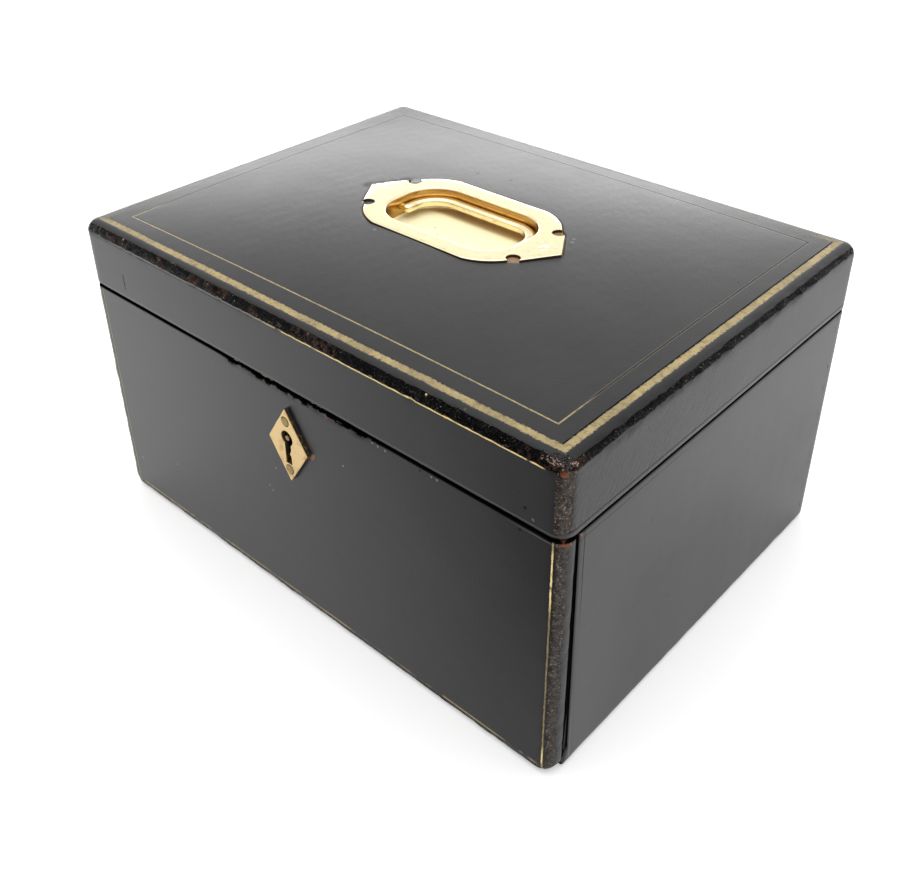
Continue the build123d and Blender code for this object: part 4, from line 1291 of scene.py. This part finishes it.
class LeatherOperator(bpy.types.Operator):
    """Covers the lid, the base and the falling front with tooled black leather"""

    bl_idname = "jewellery.leather"
    bl_label = "Leather"

    def execute(self, context):
        s = sizes()
        lid_finish = leather_finish("lid_leather_finish", lid_tooling)
        lid_cover = make_piece("lid_cover", lid_skin(s), "lid", lid_finish, ["lid_leather"])
        striker_low, striker_high = span("lock_striker_plate")
        cut(lid_cover, [box_shape(striker_low - [0.05, 0.05, 2], striker_high + [0.05, 0.05, 0.5])])
        case_finish = leather_finish("case_leather_finish", case_tooling)
        case = join(case_skin(s), toe_skin(s))
        make_piece("case_cover", case, "base", case_finish, ["case_leather"])
        flap_finish = leather_finish("flap_leather_finish", flap_tooling)
        cover = make_piece("flap_cover", flap_skin(s), "flap", flap_finish, ["flap_leather"])
        rim_low, rim_high = span("lock_selvedge")
        axis_y = FLAP_MIDDLE
        axis_z = FLAP_LOW[2] + FLAP_HALF
        cutters = [
            prism(keyhole_outline(0.5), -HALF_Y - 2, FLAP_HIGH[1] - 3, "y"),
            box_shape(rim_low - [0, 0, 0.01], rim_high + [0, 0, 2]),
        ]
        knuckle = arc(axis_y, axis_z, 3.35, 0, 345, 23)
        for x in (-HINGE_X, HINGE_X):
            cutters.append(prism(knuckle, x - 13.25, x + 13.25, "x"))
        cut(cover, cutters[:1])
        cut(cover, cutters[1:2])
        cut(cover, cutters[2:])
        lock_low, lock_high = span("lock_case")
        claw_low, claw_high = span("lock_claw_right")
        pocket_low = (lock_low[0], claw_low[1] - 0.1, lock_low[2])
        pocket_high = (lock_high[0], claw_high[1] + 0.1, rim_high[2])
        cut(cover, [box_shape(pocket_low, pocket_high)])
        panel_low, panel_high = span("flap_lining")
        room = box_shape(panel_low, panel_high + [0, 2, 0])
        cut(cover, [room])
        return {"FINISHED"}


# Brass fittings


def recess_size():
    """Half the recess's length and width and its corner radius, from the bail that fits in it."""
    bail_gap = 1.3
    pin_depth = 0.8
    corner = 18.5
    high = span("handle_bail")[1]
    return float(high[0]) - pin_depth, float(high[1]) + bail_gap, corner


class HandleOperator(bpy.types.Operator):
    """Makes the flush handle plate with its pressed recess, the bail that lies in it and the rivets"""

    bl_idname = "jewellery.handle"
    bl_label = "Handle"

    def execute(self, context):
        brass = brass_finish("handle_brass", tones=handle_tones)
        dish = make_piece("handle_dish", self.plate(), "lid", brass, ["handle_plate"], 30)
        x, y, radius = circle_through(*BITE)
        bites = []
        for side_x in (-1, 1):
            for side_y in (-1, 1):
                outline = arc(side_x * x, side_y * y, radius, 0, 352.5, 47)
                bites.append(prism(outline, PLATE_HIGH[2] - 3, PLATE_HIGH[2] + 1, "z"))
        cut(dish, bites)
        grip = brass_finish("grip_brass", rough=0.12)
        make_piece("handle_grip", self.bail(), "handle", grip, ["handle_bail"])
        studs = brass_finish("stud_brass")
        make_piece("handle_studs", self.rivets(), "lid", studs, ["handle_rivets"])
        return {"FINISHED"}

    def plate(self):
        """Rings out under the recess's floor, round the plate's edge, over its face and down to the floor.

        The plate's edge and the recess's mouth are outlines with the same count of points; each
        ring is one of them, grown or drawn in, at a height, or lies between the two.
        """
        count = 120
        top = PLATE_HIGH[2]
        low = PLATE_LOW[2]
        edge = plate_ring(count)
        half_x, half_y, radius = recess_size()

        def mouth(grow):
            corner = arc(half_x - radius, half_y - radius, radius + grow, 0, 90, 20)
            quarter = np.concatenate([[(half_x + grow, 0)], corner, [(0, half_y + grow)]])
            return quarters(quarter, count)

        def ring(flat, z):
            return np.column_stack([flat, np.full(len(flat), z)])

        floor = low + FLOOR_THICK
        small = 0.7
        taper = math.tan(math.radians(4))
        foot = -(top - floor - small) * taper
        rings = [ring(mouth(foot - shrink), low) for shrink in (16, 8, 0.8)]
        rings += [ring(mouth(foot + 0.4), low + 1.2), ring(mouth(1.6), top - 2.5)]
        rings += [ring(mouth(2.4), top - 1.5), ring(edge, top - 1.5), ring(edge, top - 0.3)]
        rings.append(ring(grow_ring(edge, -0.1), top - 0.08))
        drawn = grow_ring(edge, -0.3)
        for t in (0, 0.25, 0.5, 0.75, 0.92):
            rings.append(ring(drawn * (1 - t) + mouth(1.0) * t, top))
        for a in np.radians(np.linspace(0, 80, 7)):
            rings.append(ring(mouth(1.0 - math.sin(a)), top - (1 - math.cos(a))))
        for z in np.linspace(top - 1.6, floor + small, 5):
            rings.append(ring(mouth(-(top - z) * taper), z))
        for a in np.radians(np.linspace(0, 90, 6)[1:]):
            rings.append(ring(mouth(foot - small * (1 - math.cos(a))), floor + small * (1 - math.sin(a))))
        for shrink in (1.5, 5, 10, 16):
            rings.append(ring(mouth(foot - shrink), floor))
        return stacked(rings)

    def bail(self):
        """A rounded bar carried along a D-shaped line from one end pin to the other."""
        low, high = span("handle_bail")
        z = (low[2] + high[2]) / 2
        half_width = 2.5
        half_height = (high[2] - low[2]) / 2
        half_x, half_y, radius = recess_size()
        gap = half_y - high[1]
        out_x = half_x - gap - half_width
        out_y = high[1] - half_width
        bend = radius - gap - half_width
        quarter = arc(out_x - bend, out_y - bend, bend, 0, 90, 24)
        quarter = np.concatenate([[(out_x, 0.0)], quarter])
        path = np.concatenate([quarter, (quarter * [-1, 1])[::-1]])
        path = resample(path, 150)
        ahead = np.gradient(path, axis=0)
        ahead /= np.linalg.norm(ahead, axis=1, keepdims=True)
        side = np.stack([ahead[:, 1], -ahead[:, 0]], -1)
        t = np.linspace(0, 2 * math.pi, 33)[:-1]
        power = 0.6
        across = np.sign(np.cos(t)) * np.abs(np.cos(t)) ** power * half_width
        upward = np.sign(np.sin(t)) * np.abs(np.sin(t)) ** power * half_height
        rings = np.empty((len(path), len(t), 3))
        rings[:, :, :2] = path[:, None] + side[:, None] * across[None, :, None]
        rings[:, :, 2] = z + upward
        ends = []
        for end, sign in ((0, -1), (-1, 1)):
            caps = []
            for a in np.radians((25, 50, 70, 85)):
                shrink = math.cos(a)
                centre = path[end] + sign * ahead[end] * half_width * math.sin(a)
                cap = np.empty((len(t), 3))
                cap[:, :2] = centre + side[end] * (across * shrink)[:, None]
                cap[:, 2] = z + upward * (0.35 + 0.65 * shrink)
                caps.append(cap)
            ends.append(caps)
        full = ends[0][::-1] + list(rings) + ends[1]
        bar = stacked(full)
        pins = []
        for sign in (-1, 1):
            x0, x1 = sorted((sign * (out_x - 0.5), sign * high[0]))
            pins.append(prism(arc(0, z, 1.5, 0, 345, 23), x0, x1, "x"))
        return join(bar, *pins)

    def rivets(self):
        """Two flat round rivet heads, a hair proud of the plate, each with a chamfered rim."""
        low, high = span("handle_rivets")
        top = high[2]
        profile = [(2.5, -6.9), (2.5, -0.12), (2.35, 0.0), (1.2, 0.04), (0.02, 0.06)]
        head = lathe(profile, 40)
        x = high[0] - 2.5
        return join(*[turned(head, np.eye(3), (side * x, 0, top)) for side in (-1, 1)])


class EscutcheonOperator(bpy.types.Operator):
    """Makes the rhombus keyhole plate and the two pins that hold it"""

    bl_idname = "jewellery.escutcheon"
    bl_label = "Keyhole plate"

    def execute(self, context):
        brass = brass_finish("escutcheon_brass", "old_brass", 0.34, 0.7, keyhole_tones)
        make_piece("keyhole_plate", self.plate(), "flap", brass, ["escutcheon"], 30)
        pins = brass_finish("pin_brass", "pin", 0.24, 0.5)
        make_piece("keyhole_pins", self.pins(), "flap", pins, ["escutcheon_pins"], 50)
        return {"FINISHED"}

    def plate(self):
        """A closed tube of rings: the rhombus's edge, its bevel, its face and the keyhole's edge.

        Each point of the rhombus lies on a ray from the middle whose angle is halfway between the
        keyhole point's own and an even share of the turn.
        """
        low, high = span("escutcheon")
        centre_z = (low[2] + high[2]) / 2
        half_x = (high[0] - low[0]) / 2
        half_z = (high[2] - low[2]) / 2
        count = 240
        key = keyhole_outline(0, 0.9)
        key = resample(np.concatenate([key, key[:1]]), count + 1)[:-1]
        turn = np.unwrap(np.arctan2(key[:, 1] - centre_z, key[:, 0]))
        whole = 2 * math.pi * np.sign(turn[-1] - turn[0])
        even = np.linspace(turn[0], turn[0] + whole, count + 1)[:-1]
        angle = 0.5 * turn + 0.5 * even
        reach = 1 / (np.abs(np.cos(angle)) / half_x + np.abs(np.sin(angle)) / half_z)
        edge = np.column_stack([reach * np.cos(angle), reach * np.sin(angle)])
        edge = edge * (1 - 0.006 * (1 + waves(np.column_stack([edge, edge[:, 0]]), 9, 5))[:, None])
        edge[:, 1] += centre_z

        def ring(flat, y):
            return np.column_stack([flat[:, 0], np.full(len(flat), y), flat[:, 1]])

        face = low[1]
        back = high[1]
        middle = np.array([0, centre_z])
        drawn = middle + (edge - middle) * (1 - 0.4 / np.linalg.norm(edge - middle, axis=1, keepdims=True))
        rings = [ring(edge, back), ring(edge, face + 0.3), ring(drawn, face + 0.03)]
        for t in (0.25, 0.5, 0.75, 0.97):
            rings.append(ring(drawn * (1 - t) + key * t, face))
        rings.append(ring(key, face + 0.2))
        rings.append(ring(key, back))
        return skin_of(np.stack(rings))

    def pins(self):
        """Two low domed heads with a worn slot."""
        low, high = span("escutcheon_pins")
        face = span("escutcheon")[0][1]
        radius = PIN_RADIUS
        profile = [(0.9, -3.5), (0.9, 0.0), (radius, 0.0)]
        for a in np.radians(np.linspace(0, 88, 12)):
            profile.append((radius * math.cos(a), 0.12 + 0.38 * math.sin(a)))
        shapes = []
        for z, lean in ((high[2] - radius, 0.5), (low[2] + radius, 1.9)):
            points, faces = lathe(profile, 56)
            across = points[:, 0] * math.cos(lean) + points[:, 1] * math.sin(lean)
            slot = np.exp(-((across / 0.38) ** 4)) * (points[:, 2] > 0.1)
            points[:, 2] -= 0.3 * slot
            shapes.append(turned((points, faces), FACE_FRONT, (0, face, z)))
        return join(*shapes)


class KnobOperator(bpy.types.Operator):
    """Turns the drawers' small brass knobs"""

    bl_idname = "jewellery.knobs"
    bl_label = "Drawer knobs"

    def execute(self, context):
        brass = brass_finish("knob_brass", rough=0.18)
        for level in ("lower", "upper"):
            node = f"drawer_{level}_knob"
            low, high = span(node)
            reach = high[1] - low[1]
            neck = [(2.25, 0.0), (2.25, 4.6), (2.6, 5.0), (2.7, 5.3), (2.1, 5.8), (2.0, 6.6), (2.4, 7.3)]
            bulb = [(3.3, 7.9), (4.2, 8.4), (4.5, 9.0), (4.35, 9.7), (3.7, 10.4), (2.3, 10.85)]
            crown = [(1.0, 11.0), (0.02, 11.0)]
            profile = np.array(neck + bulb + crown) * [1, reach / crown[-1][1]]
            middle = (low[2] + high[2]) / 2
            shape = turned(lathe(profile, 48), FACE_FRONT, (0, high[1], middle))
            make_piece(f"{node}_turned", shape, f"drawer_{level}", brass, [node], 50)
        return {"FINISHED"}


# Linings and pads


def tray(low, high):
    """An open tray: up its outside, over a rounded rim, down its inside and over its floor."""
    wall = VELVET
    round_in = 2.0
    middle, half = halves(low, high)

    def ring(inset, z):
        return plan_ring(half[0] - inset, half[1] - inset, 0.3 + min(inset, 1.0), z, LINING_STEPS, 5)

    top = high[2]
    rings = [ring(0, low[2]), ring(0, top - wall / 2)]
    for a in np.radians((45, 90, 135)):
        rings.append(ring(wall / 2 * (1 - math.cos(a)), top - wall / 2 * (1 - math.sin(a))))
    rings.append(ring(wall, top - wall / 2))
    bed = low[2] + wall
    for z in np.linspace(top - wall, bed + round_in, 5)[1:]:
        rings.append(ring(wall, z))
    for a in np.radians((30, 60, 90)):
        rings.append(ring(wall + round_in * (1 - math.cos(a)), bed + round_in * (1 - math.sin(a))))
    for share in (0.25, 0.5, 0.75):
        rings.append(ring(wall + round_in + (half[1] - wall - round_in) * share * 0.9, bed))
    points, faces = stacked(rings)
    return points + [middle[0], middle[1], 0], faces


def band(low, high):
    """A lining round four walls: a closed tube of rings, turned in at its upper end under the pad."""
    wall = VELVET
    flange = 6.0
    middle, half = halves(low, high)
    turn_in = high[2] - 0.6

    def ring(inset, z):
        return plan_ring(half[0] - inset, half[1] - inset, 0.3 + min(inset, 1.0), z, LINING_STEPS, 5)

    rings = [ring(0, high[2]), ring(0, low[2] + 0.3), ring(wall / 2, low[2]), ring(wall, low[2] + 0.3)]
    rings += [ring(wall, z) for z in np.linspace(low[2] + 3, turn_in, 4)]
    rings += [ring(flange, turn_in), ring(flange, high[2])]
    points, faces = skin_of(np.stack(rings))
    return points + [middle[0], middle[1], 0], faces


def piping(half_x, half_y, radius, thick, place, axis):
    """A covered edging round a pad: a thin tube carried round a rounded rectangle, with a fine twist."""
    path = plan_ring(half_x, half_y, radius, 0, (150, 110), 8)[:, :2]
    ahead = np.roll(path, -1, 0) - np.roll(path, 1, 0)
    normal = np.stack([ahead[:, 1], -ahead[:, 0]], -1) / np.linalg.norm(ahead, axis=1, keepdims=True)
    turn = np.arange(12) * 2 * math.pi / 12
    step = np.linalg.norm(path - np.roll(path, 1, 0), axis=1)
    pull = 1 - 0.06 * (1 + np.cos(np.cumsum(step) * 2 * math.pi / 7.0))
    size = (thick * pull)[:, None]
    rings = np.empty((len(path), len(turn), 3))
    rings[:, :, :2] = path[:, None] + normal[:, None] * (size * np.cos(turn))[:, :, None]
    rings[:, :, 2] = size * np.sin(turn)
    order = {1: [0, 2, 1], 2: [0, 1, 2]}[axis]
    points, faces = skin_of(rings)
    return points[:, order] + np.asarray(place), faces


def cushion(low, high, axis, sign, puff, seed, crease=0.25, dip=1.5):
    """A padded panel: flat at its back, its face a flattened dome quilted in stitched diamonds.

    The face's height over a point u, v of the unit square is (1 - |2u-1|^p)(1 - |2v-1|^p) to a
    small power, so it rises steeply at the edge and is nearly level in the middle. The stitched
    lines run aslant both ways, stitch apart, and the face sinks by dip towards them: by the square
    root of the product of the sines of the two slanting distances.
    """
    order = {1: (0, 2), 2: (0, 1)}[axis]
    stitch = 36.0
    rows, columns = 180, 260
    v, u = np.meshgrid(np.linspace(-1, 1, rows), np.linspace(-1, 1, columns), indexing="ij")
    v = np.sin(v * math.pi / 2 * 0.999) * 0.35 + v * 0.65
    u = np.sin(u * math.pi / 2 * 0.999) * 0.25 + u * 0.75
    u /= np.abs(u).max()
    v /= np.abs(v).max()
    lift = ((1 - np.abs(u) ** 18) * (1 - np.abs(v) ** 14)) ** 0.45
    lift *= 1 - 0.18 * (u**2 + v**2) / 2
    middle, half = halves(low, high)
    first = middle[order[0]] + u * half[order[0]]
    second = middle[order[1]] + v * half[order[1]]
    flat = np.stack([first, second, np.zeros_like(u)], -1).reshape(-1, 3)
    rim = np.exp(-(((1 - np.maximum(np.abs(u), np.abs(v))) / 0.12) ** 2)).reshape(-1)
    wrinkle = waves(flat, 13, seed) * (0.35 + rim) * crease
    thick = high[axis] - low[axis]
    rise = lift.reshape(-1) * (thick - puff) + lift.reshape(-1) * np.minimum(puff, puff * 0.75 + wrinkle)
    aslant = (u * half[order[0]] + v * half[order[1]]).reshape(-1)
    counter = (u * half[order[0]] - v * half[order[1]]).reshape(-1)
    pillow = np.ones_like(rise)
    for slant in (aslant, counter):
        pillow *= np.sqrt(np.sin(slant * math.pi / stitch) ** 2 + 0.008)
    rise -= dip * lift.reshape(-1) * (1 - np.sqrt(np.minimum(pillow, 1)))
    rise = np.clip(rise, 0, thick)
    base = low[axis] if sign > 0 else high[axis]
    points = np.empty((len(flat), 3))
    points[:, order[0]] = flat[:, 0]
    points[:, order[1]] = flat[:, 1]
    points[:, axis] = base + sign * rise
    number = np.arange(rows * columns).reshape(rows, columns)
    border = np.concatenate([number[0, :-1], number[:-1, -1], number[-1, :0:-1], number[:0:-1, 0]])
    points[border, axis] = base
    return points, grid_faces(rows, columns).tolist() + [border[::-1].tolist()]


class LiningOperator(bpy.types.Operator):
    """Lines the compartment, the lid and the drawers with velvet and covers the partitions"""

    bl_idname = "jewellery.linings"
    bl_label = "Velvet linings"

    def execute(self, context):
        velvet = velvet_finish("lining_velvet")
        lined = [
            ("compartment_velvet", tray, "base", "compartment_lining"),
            ("lid_side_velvet", band, "lid", "lid_side_lining"),
        ]
        for level in ("lower", "upper"):
            lined.append((f"drawer_{level}_velvet", tray, f"drawer_{level}", f"drawer_{level}_lining"))
        for name, shape, body, node in lined:
            make_piece(name, shape(*span(node)), body, velvet, [node])
        low, high = span("compartment_partitions")
        walls = [self.wall(low, (high[0], low[1] + 4, high[2]))]
        for side in (-1, 1):
            x = side * high[0] / 3
            walls.append(self.wall((x - 2, low[1] + 3.2, low[2]), (x + 2, high[1], high[2])))
        make_piece("partition_velvet", join(*walls), "base", velvet, ["compartment_partitions"])
        return {"FINISHED"}

    def wall(self, low, high):
        """A covered partition whose top edge is a half round."""
        low = np.array(low, float)
        high = np.array(high, float)
        middle, half = halves(low, high)
        thin = min(half[0], half[1])
        rings = []
        for z in np.linspace(low[2], high[2] - thin * 0.8, 6):
            rings.append(plan_ring(half[0], half[1], 0.6, z, LINING_STEPS, 3))
        for a in np.radians((25, 50, 70, 85)):
            inset = thin * (1 - math.cos(a))
            z = high[2] - thin * 0.8 * (1 - math.sin(a))
            radius = max(min(0.6, thin - inset) * 0.9, 0.02)
            rings.append(plan_ring(half[0] - inset, half[1] - inset, radius, z, LINING_STEPS, 3))
        points, faces = stacked(rings)
        return points + [middle[0], middle[1], 0], faces


class PadOperator(bpy.types.Operator):
    """Makes the padded pieces: satin in the lid and on the falling front, and the ring rolls"""

    bl_idname = "jewellery.pads"
    bl_label = "Padded satin and ring rolls"

    def execute(self, context):
        satin = satin_finish("padding_satin")
        low, high = span("lid_pad")
        middle, half = halves(low, high)
        edging = piping(half[0] - 1, half[1] - 1, 2, 1.0, (middle[0], middle[1], high[2] - 1.2), 2)
        shape = join(cushion(low, high, 2, -1, 2.5, 41), edging)
        pad = make_piece("lid_satin", shape, "lid", satin, ["lid_pad"])
        low, high = span("flap_lining")
        middle, half = halves(low, high)
        edging = piping(half[0] - 0.8, half[2] - 0.8, 2, 0.7, (middle[0], high[1] - 0.75, middle[2]), 1)
        shape = join(cushion(low, high, 1, 1, 1.0, 42, 0.12, dip=0.6), edging)
        panel = make_piece("flap_satin", shape, "flap", satin, ["flap_lining"])
        velvet = velvet_finish("roll_velvet")
        low, high = span("ring_rolls")
        count = 5
        gap = 0.6
        pitch = (high[1] - low[1] + gap) / count
        shapes = []
        for i in range(count):
            y = low[1] + pitch * (i + 0.5) - gap / 2
            shapes.append(self.roll(low, high, y, pitch / 2 - gap / 2, i))
        rolls = make_piece("ring_roll_velvet", join(*shapes), "base", velvet, ["ring_rolls"])
        return {"FINISHED"}

    def roll(self, low, high, y, half, seed):
        """A stuffed bar: a half round over upright sides, its section drawn in a little at both ends."""
        foot = np.linspace(low[2], high[2] - half, 5)
        right = np.column_stack([np.full(5, half), foot])
        over = arc(0, high[2] - half, half, 0, 180, 18)[1:-1]
        left = right[::-1] * [-1, 1]
        section = np.concatenate([right, over, left])
        t = np.linspace(-1, 1, 110)
        x = t * high[0]
        pull = (1 - np.abs(t) ** 30) ** 0.5
        rings = np.empty((len(t), len(section), 3))
        rings[:, :, 0] = x[:, None]
        rings[:, :, 1] = y + section[None, :, 0] * (0.75 + 0.25 * pull[:, None])
        height = section[None, :, 1] - low[2]
        rings[:, :, 2] = low[2] + height * (0.8 + 0.2 * pull[:, None])
        flat = rings.reshape(-1, 3)
        sag = waves(flat, 30, 50 + seed) * 0.3
        rise = smooth(flat[:, 2], low[2] + 4, high[2])
        flat[:, 2] -= (sag + 0.3) * rise * 0.8
        return stacked(flat.reshape(rings.shape))


class BaizeOperator(bpy.types.Operator):
    """Covers the middle of the underside with cloth"""

    bl_idname = "jewellery.baize"
    bl_label = "Cloth underneath"

    def execute(self, context):
        low, high = span("base_baize")
        half = (high - low) / 2
        rings = []
        for inset, z in ((3, low[2]), (0.3, low[2]), (0, low[2] + 0.3), (0, high[2])):
            rings.append(plan_ring(half[0] - inset, half[1] - inset, 1.0, z, LINING_STEPS, 4))
        shape = stacked(rings)
        cloth = baize_finish("baize_cloth")
        make_piece("underside_cloth", shape, "base", cloth, ["base_baize"])
        return {"FINISHED"}


class BoardOperator(bpy.types.Operator):
    """Gives the boards their wood and the hinges and lock their metal"""

    bl_idname = "jewellery.boards"
    bl_label = "Boards, hinges and lock"

    def execute(self, context):
        drawers = [f"drawer_{level}" for level in ("lower", "upper")]
        across = [f"{drawer}_{part}" for drawer in drawers for part in ("front", "back", "bottom")]
        deep = [f"{drawer}_{part}" for drawer in drawers for part in ("left_side", "right_side")]
        wanted = [
            (
                wood_finish("softwood_across", "softwood", "x", 0.6),
                ["case_floor", "case_back", "lid_top_board", "lid_frame", "flap_board", "drawer_bed"],
            ),
            (wood_finish("softwood_deep", "softwood", "y", 0.6), ["case_left_side", "case_right_side"]),
            (
                wood_finish("mahogany_across", "wood", "x"),
                ["drawer_divider", "dust_board", "compartment_front", *across],
            ),
            (wood_finish("mahogany_deep", "wood", "y"), deep),
            (
                brass_finish("fitting_brass", "old_brass", 0.24, 0.6),
                [
                    "lid_hinge_lower_leaves", "lid_hinge_upper_leaves", "flap_hinge_fixed_leaves",
                    "flap_hinge_moving_leaves", "lock_case", "lock_cover", "lock_selvedge",
                    "lock_striker_plate",
                ],
            ),
            (brass_finish("drill_pin_brass", "pin", 0.45, 0.6), ["lock_drill_pin"]),
            (
                steel_finish("fitting_steel"),
                ["lid_hinge_pins", "flap_hinge_pins", "lock_claw_left", "lock_claw_right"],
            ),
        ]
        for finish, nodes in wanted:
            for node in nodes:
                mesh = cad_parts[node].data
                mesh.materials.clear()
                mesh.materials.append(finish)
        return {"FINISHED"}


# The stage

# The soft lamps, in metres and watts
LAMPS = {
    "lamp_back": {"place": (-2.0, 2.23, 0.63), "aim": (0, 0, 0.17), "size": (4.0, 0.92), "power": 37},
    "lamp_top": {"place": (0.0, 0.0, 2.2), "aim": (0, 0.001, 0), "size": (3.0, 3.0), "power": 38},
}
WORLD_LIGHT = 0.62
FLOOR_LIFT = 0.34
# The photograph's viewpoint: angles in radians, lengths in metres, the picture in pixels
VIEW_AZIMUTH = 0.73505
VIEW_ELEVATION = 0.55169
VIEW_ROLL = -0.0078
VIEW_DISTANCE = 0.560706
VIEW_AIM = (0, 0, 0.0825)
VIEW_OFFSET = (-0.002361, 0.014913)
PICTURE = (903, 869)
FOCAL_PIXELS = 1075.6
CENTRE_PIXELS = (456.99, 343.46)
SENSOR = 36


def view_axes(azimuth, elevation, roll):
    """The camera's right, up and backward directions, angles in radians."""
    back = np.array(
        [
            math.sin(azimuth) * math.cos(elevation),
            -math.cos(azimuth) * math.cos(elevation),
            math.sin(elevation),
        ]
    )
    right = np.cross([0, 0, 1], back)
    right /= np.linalg.norm(right)
    up = np.cross(back, right)
    turned_right = math.cos(roll) * right + math.sin(roll) * up
    turned_up = -math.sin(roll) * right + math.cos(roll) * up
    return turned_right, turned_up, back


def soft_lamp(name, place, aim, size, power):
    """A soft lamp with straight sides at a place, turned to its aim."""
    lamp = bpy.data.lights.new(name, "AREA")
    lamp.shape = "RECTANGLE"
    lamp.size, lamp.size_y = size
    lamp.energy = power
    holder = bpy.data.objects.new(name, lamp)
    bpy.context.scene.collection.objects.link(holder)
    away = np.array(place, float) - np.array(aim, float)
    away /= np.linalg.norm(away)
    right = np.cross([0, 0, 1], away)
    right /= np.linalg.norm(right)
    up = np.cross(away, right)
    turn = Matrix(np.column_stack([right, up, away]).tolist()).to_4x4()
    holder.matrix_world = Matrix.Translation(place) @ turn


def seen_rays(tree):
    """1 for the rays that the camera, a mirror or a glass sees by."""
    path = add(tree, "ShaderNodeLightPath").outputs
    seen = Value(path["Is Camera Ray"]) + Value(path["Is Glossy Ray"])
    return calc("ADD", seen, Value(path["Is Transmission Ray"]), clamp=True)


class StageOperator(bpy.types.Operator):
    """Sets the pale floor, the soft light and the camera"""

    bl_idname = "jewellery.stage"
    bl_label = "Stage"

    def execute(self, context):
        scene = context.scene
        scene.view_settings.view_transform = "Standard"
        self.floor(scene)
        self.world(scene)
        for name, lamp in LAMPS.items():
            soft_lamp(name, **lamp)
        self.camera(scene)
        return {"FINISHED"}

    def floor(self, scene):
        """A wide pale floor, lifted to white where it is seen, directly or mirrored."""
        reach = 9
        mesh = bpy.data.meshes.new("floor")
        corners = [(-reach, -reach, 0), (reach, -reach, 0), (reach, reach, 0), (-reach, reach, 0)]
        mesh.from_pydata(corners, [], [(0, 1, 2, 3)])
        floor = bpy.data.objects.new("floor", mesh)
        scene.collection.objects.link(floor)
        surface = Surface("floor_white")
        finish = surface.shade(
            {
                "Base Color": (0.93, 0.93, 0.93, 1),
                "Roughness": 0.9,
                "Specular IOR Level": 0.1,
                "Emission Color": (1, 1, 1, 1),
                "Emission Strength": seen_rays(surface.tree) * FLOOR_LIFT,
            }
        )
        mesh.materials.append(finish)

    def world(self, scene):
        """White where it is seen, directly or mirrored, and a plain level where it lights."""
        world = bpy.data.worlds.new("studio")
        world.use_nodes = True
        scene.world = world
        shader = world.node_tree.nodes["Background"]
        shader.inputs["Color"].default_value = (1, 1, 1, 1)
        put(shader.inputs["Strength"], WORLD_LIGHT + seen_rays(world.node_tree) * (1 - WORLD_LIGHT))

    def camera(self, scene):
        """The photograph's viewpoint: 42 degrees round from the front and 32 above level."""
        right, up, back = view_axes(VIEW_AZIMUTH, VIEW_ELEVATION, VIEW_ROLL)
        aim = np.array(VIEW_AIM) + VIEW_OFFSET[0] * right + VIEW_OFFSET[1] * up
        width, height = PICTURE
        camera = bpy.data.cameras.new("camera")
        camera.sensor_width = SENSOR
        camera.lens = FOCAL_PIXELS / width * SENSOR
        camera.shift_x = (width / 2 - CENTRE_PIXELS[0]) / width
        camera.shift_y = (CENTRE_PIXELS[1] - height / 2) / width
        camera.clip_start = 0.01
        holder = bpy.data.objects.new("camera", camera)
        scene.collection.objects.link(holder)
        turn = Matrix(np.column_stack([right, up, back]).tolist()).to_4x4()
        holder.matrix_world = Matrix.Translation((aim + back * VIEW_DISTANCE).tolist()) @ turn
        scene.camera = holder


STEPS = (
    LeatherOperator,
    HandleOperator,
    EscutcheonOperator,
    KnobOperator,
    LiningOperator,
    PadOperator,
    BaizeOperator,
    BoardOperator,
    StageOperator,
)


class BoxPanel(bpy.types.Panel):
    """The sidebar's list of sizes, colours and steps"""

    bl_idname = "VIEW3D_PT_jewellery_box"
    bl_label = "Jewellery box"
    bl_space_type = "VIEW_3D"
    bl_region_type = "UI"
    bl_category = "Jewellery box"

    def draw(self, context):
        for group in (context.scene.jewellery_sizes, context.scene.jewellery_colours):
            for key in group.__annotations__:
                self.layout.prop(group, key)
        for step in STEPS:
            self.layout.operator(step.bl_idname)


CLASSES = (BoxSizes, BoxColours, *STEPS, BoxPanel)


def register():
    """Registers the classes and puts the sizes and colours on the scene."""
    for item in CLASSES:
        bpy.utils.register_class(item)
    bpy.types.Scene.jewellery_sizes = bpy.props.PointerProperty(type=BoxSizes)
    bpy.types.Scene.jewellery_colours = bpy.props.PointerProperty(type=BoxColours)


def unregister():
    """Takes them away again."""
    del bpy.types.Scene.jewellery_sizes
    del bpy.types.Scene.jewellery_colours
    for item in reversed(CLASSES):
        bpy.utils.unregister_class(item)


def main():
    """Runs every step in order."""
    register()
    for step in STEPS:
        group, name = step.bl_idname.split(".")
        getattr(getattr(bpy.ops, group), name)()


if __name__ == "__main__":
    main()
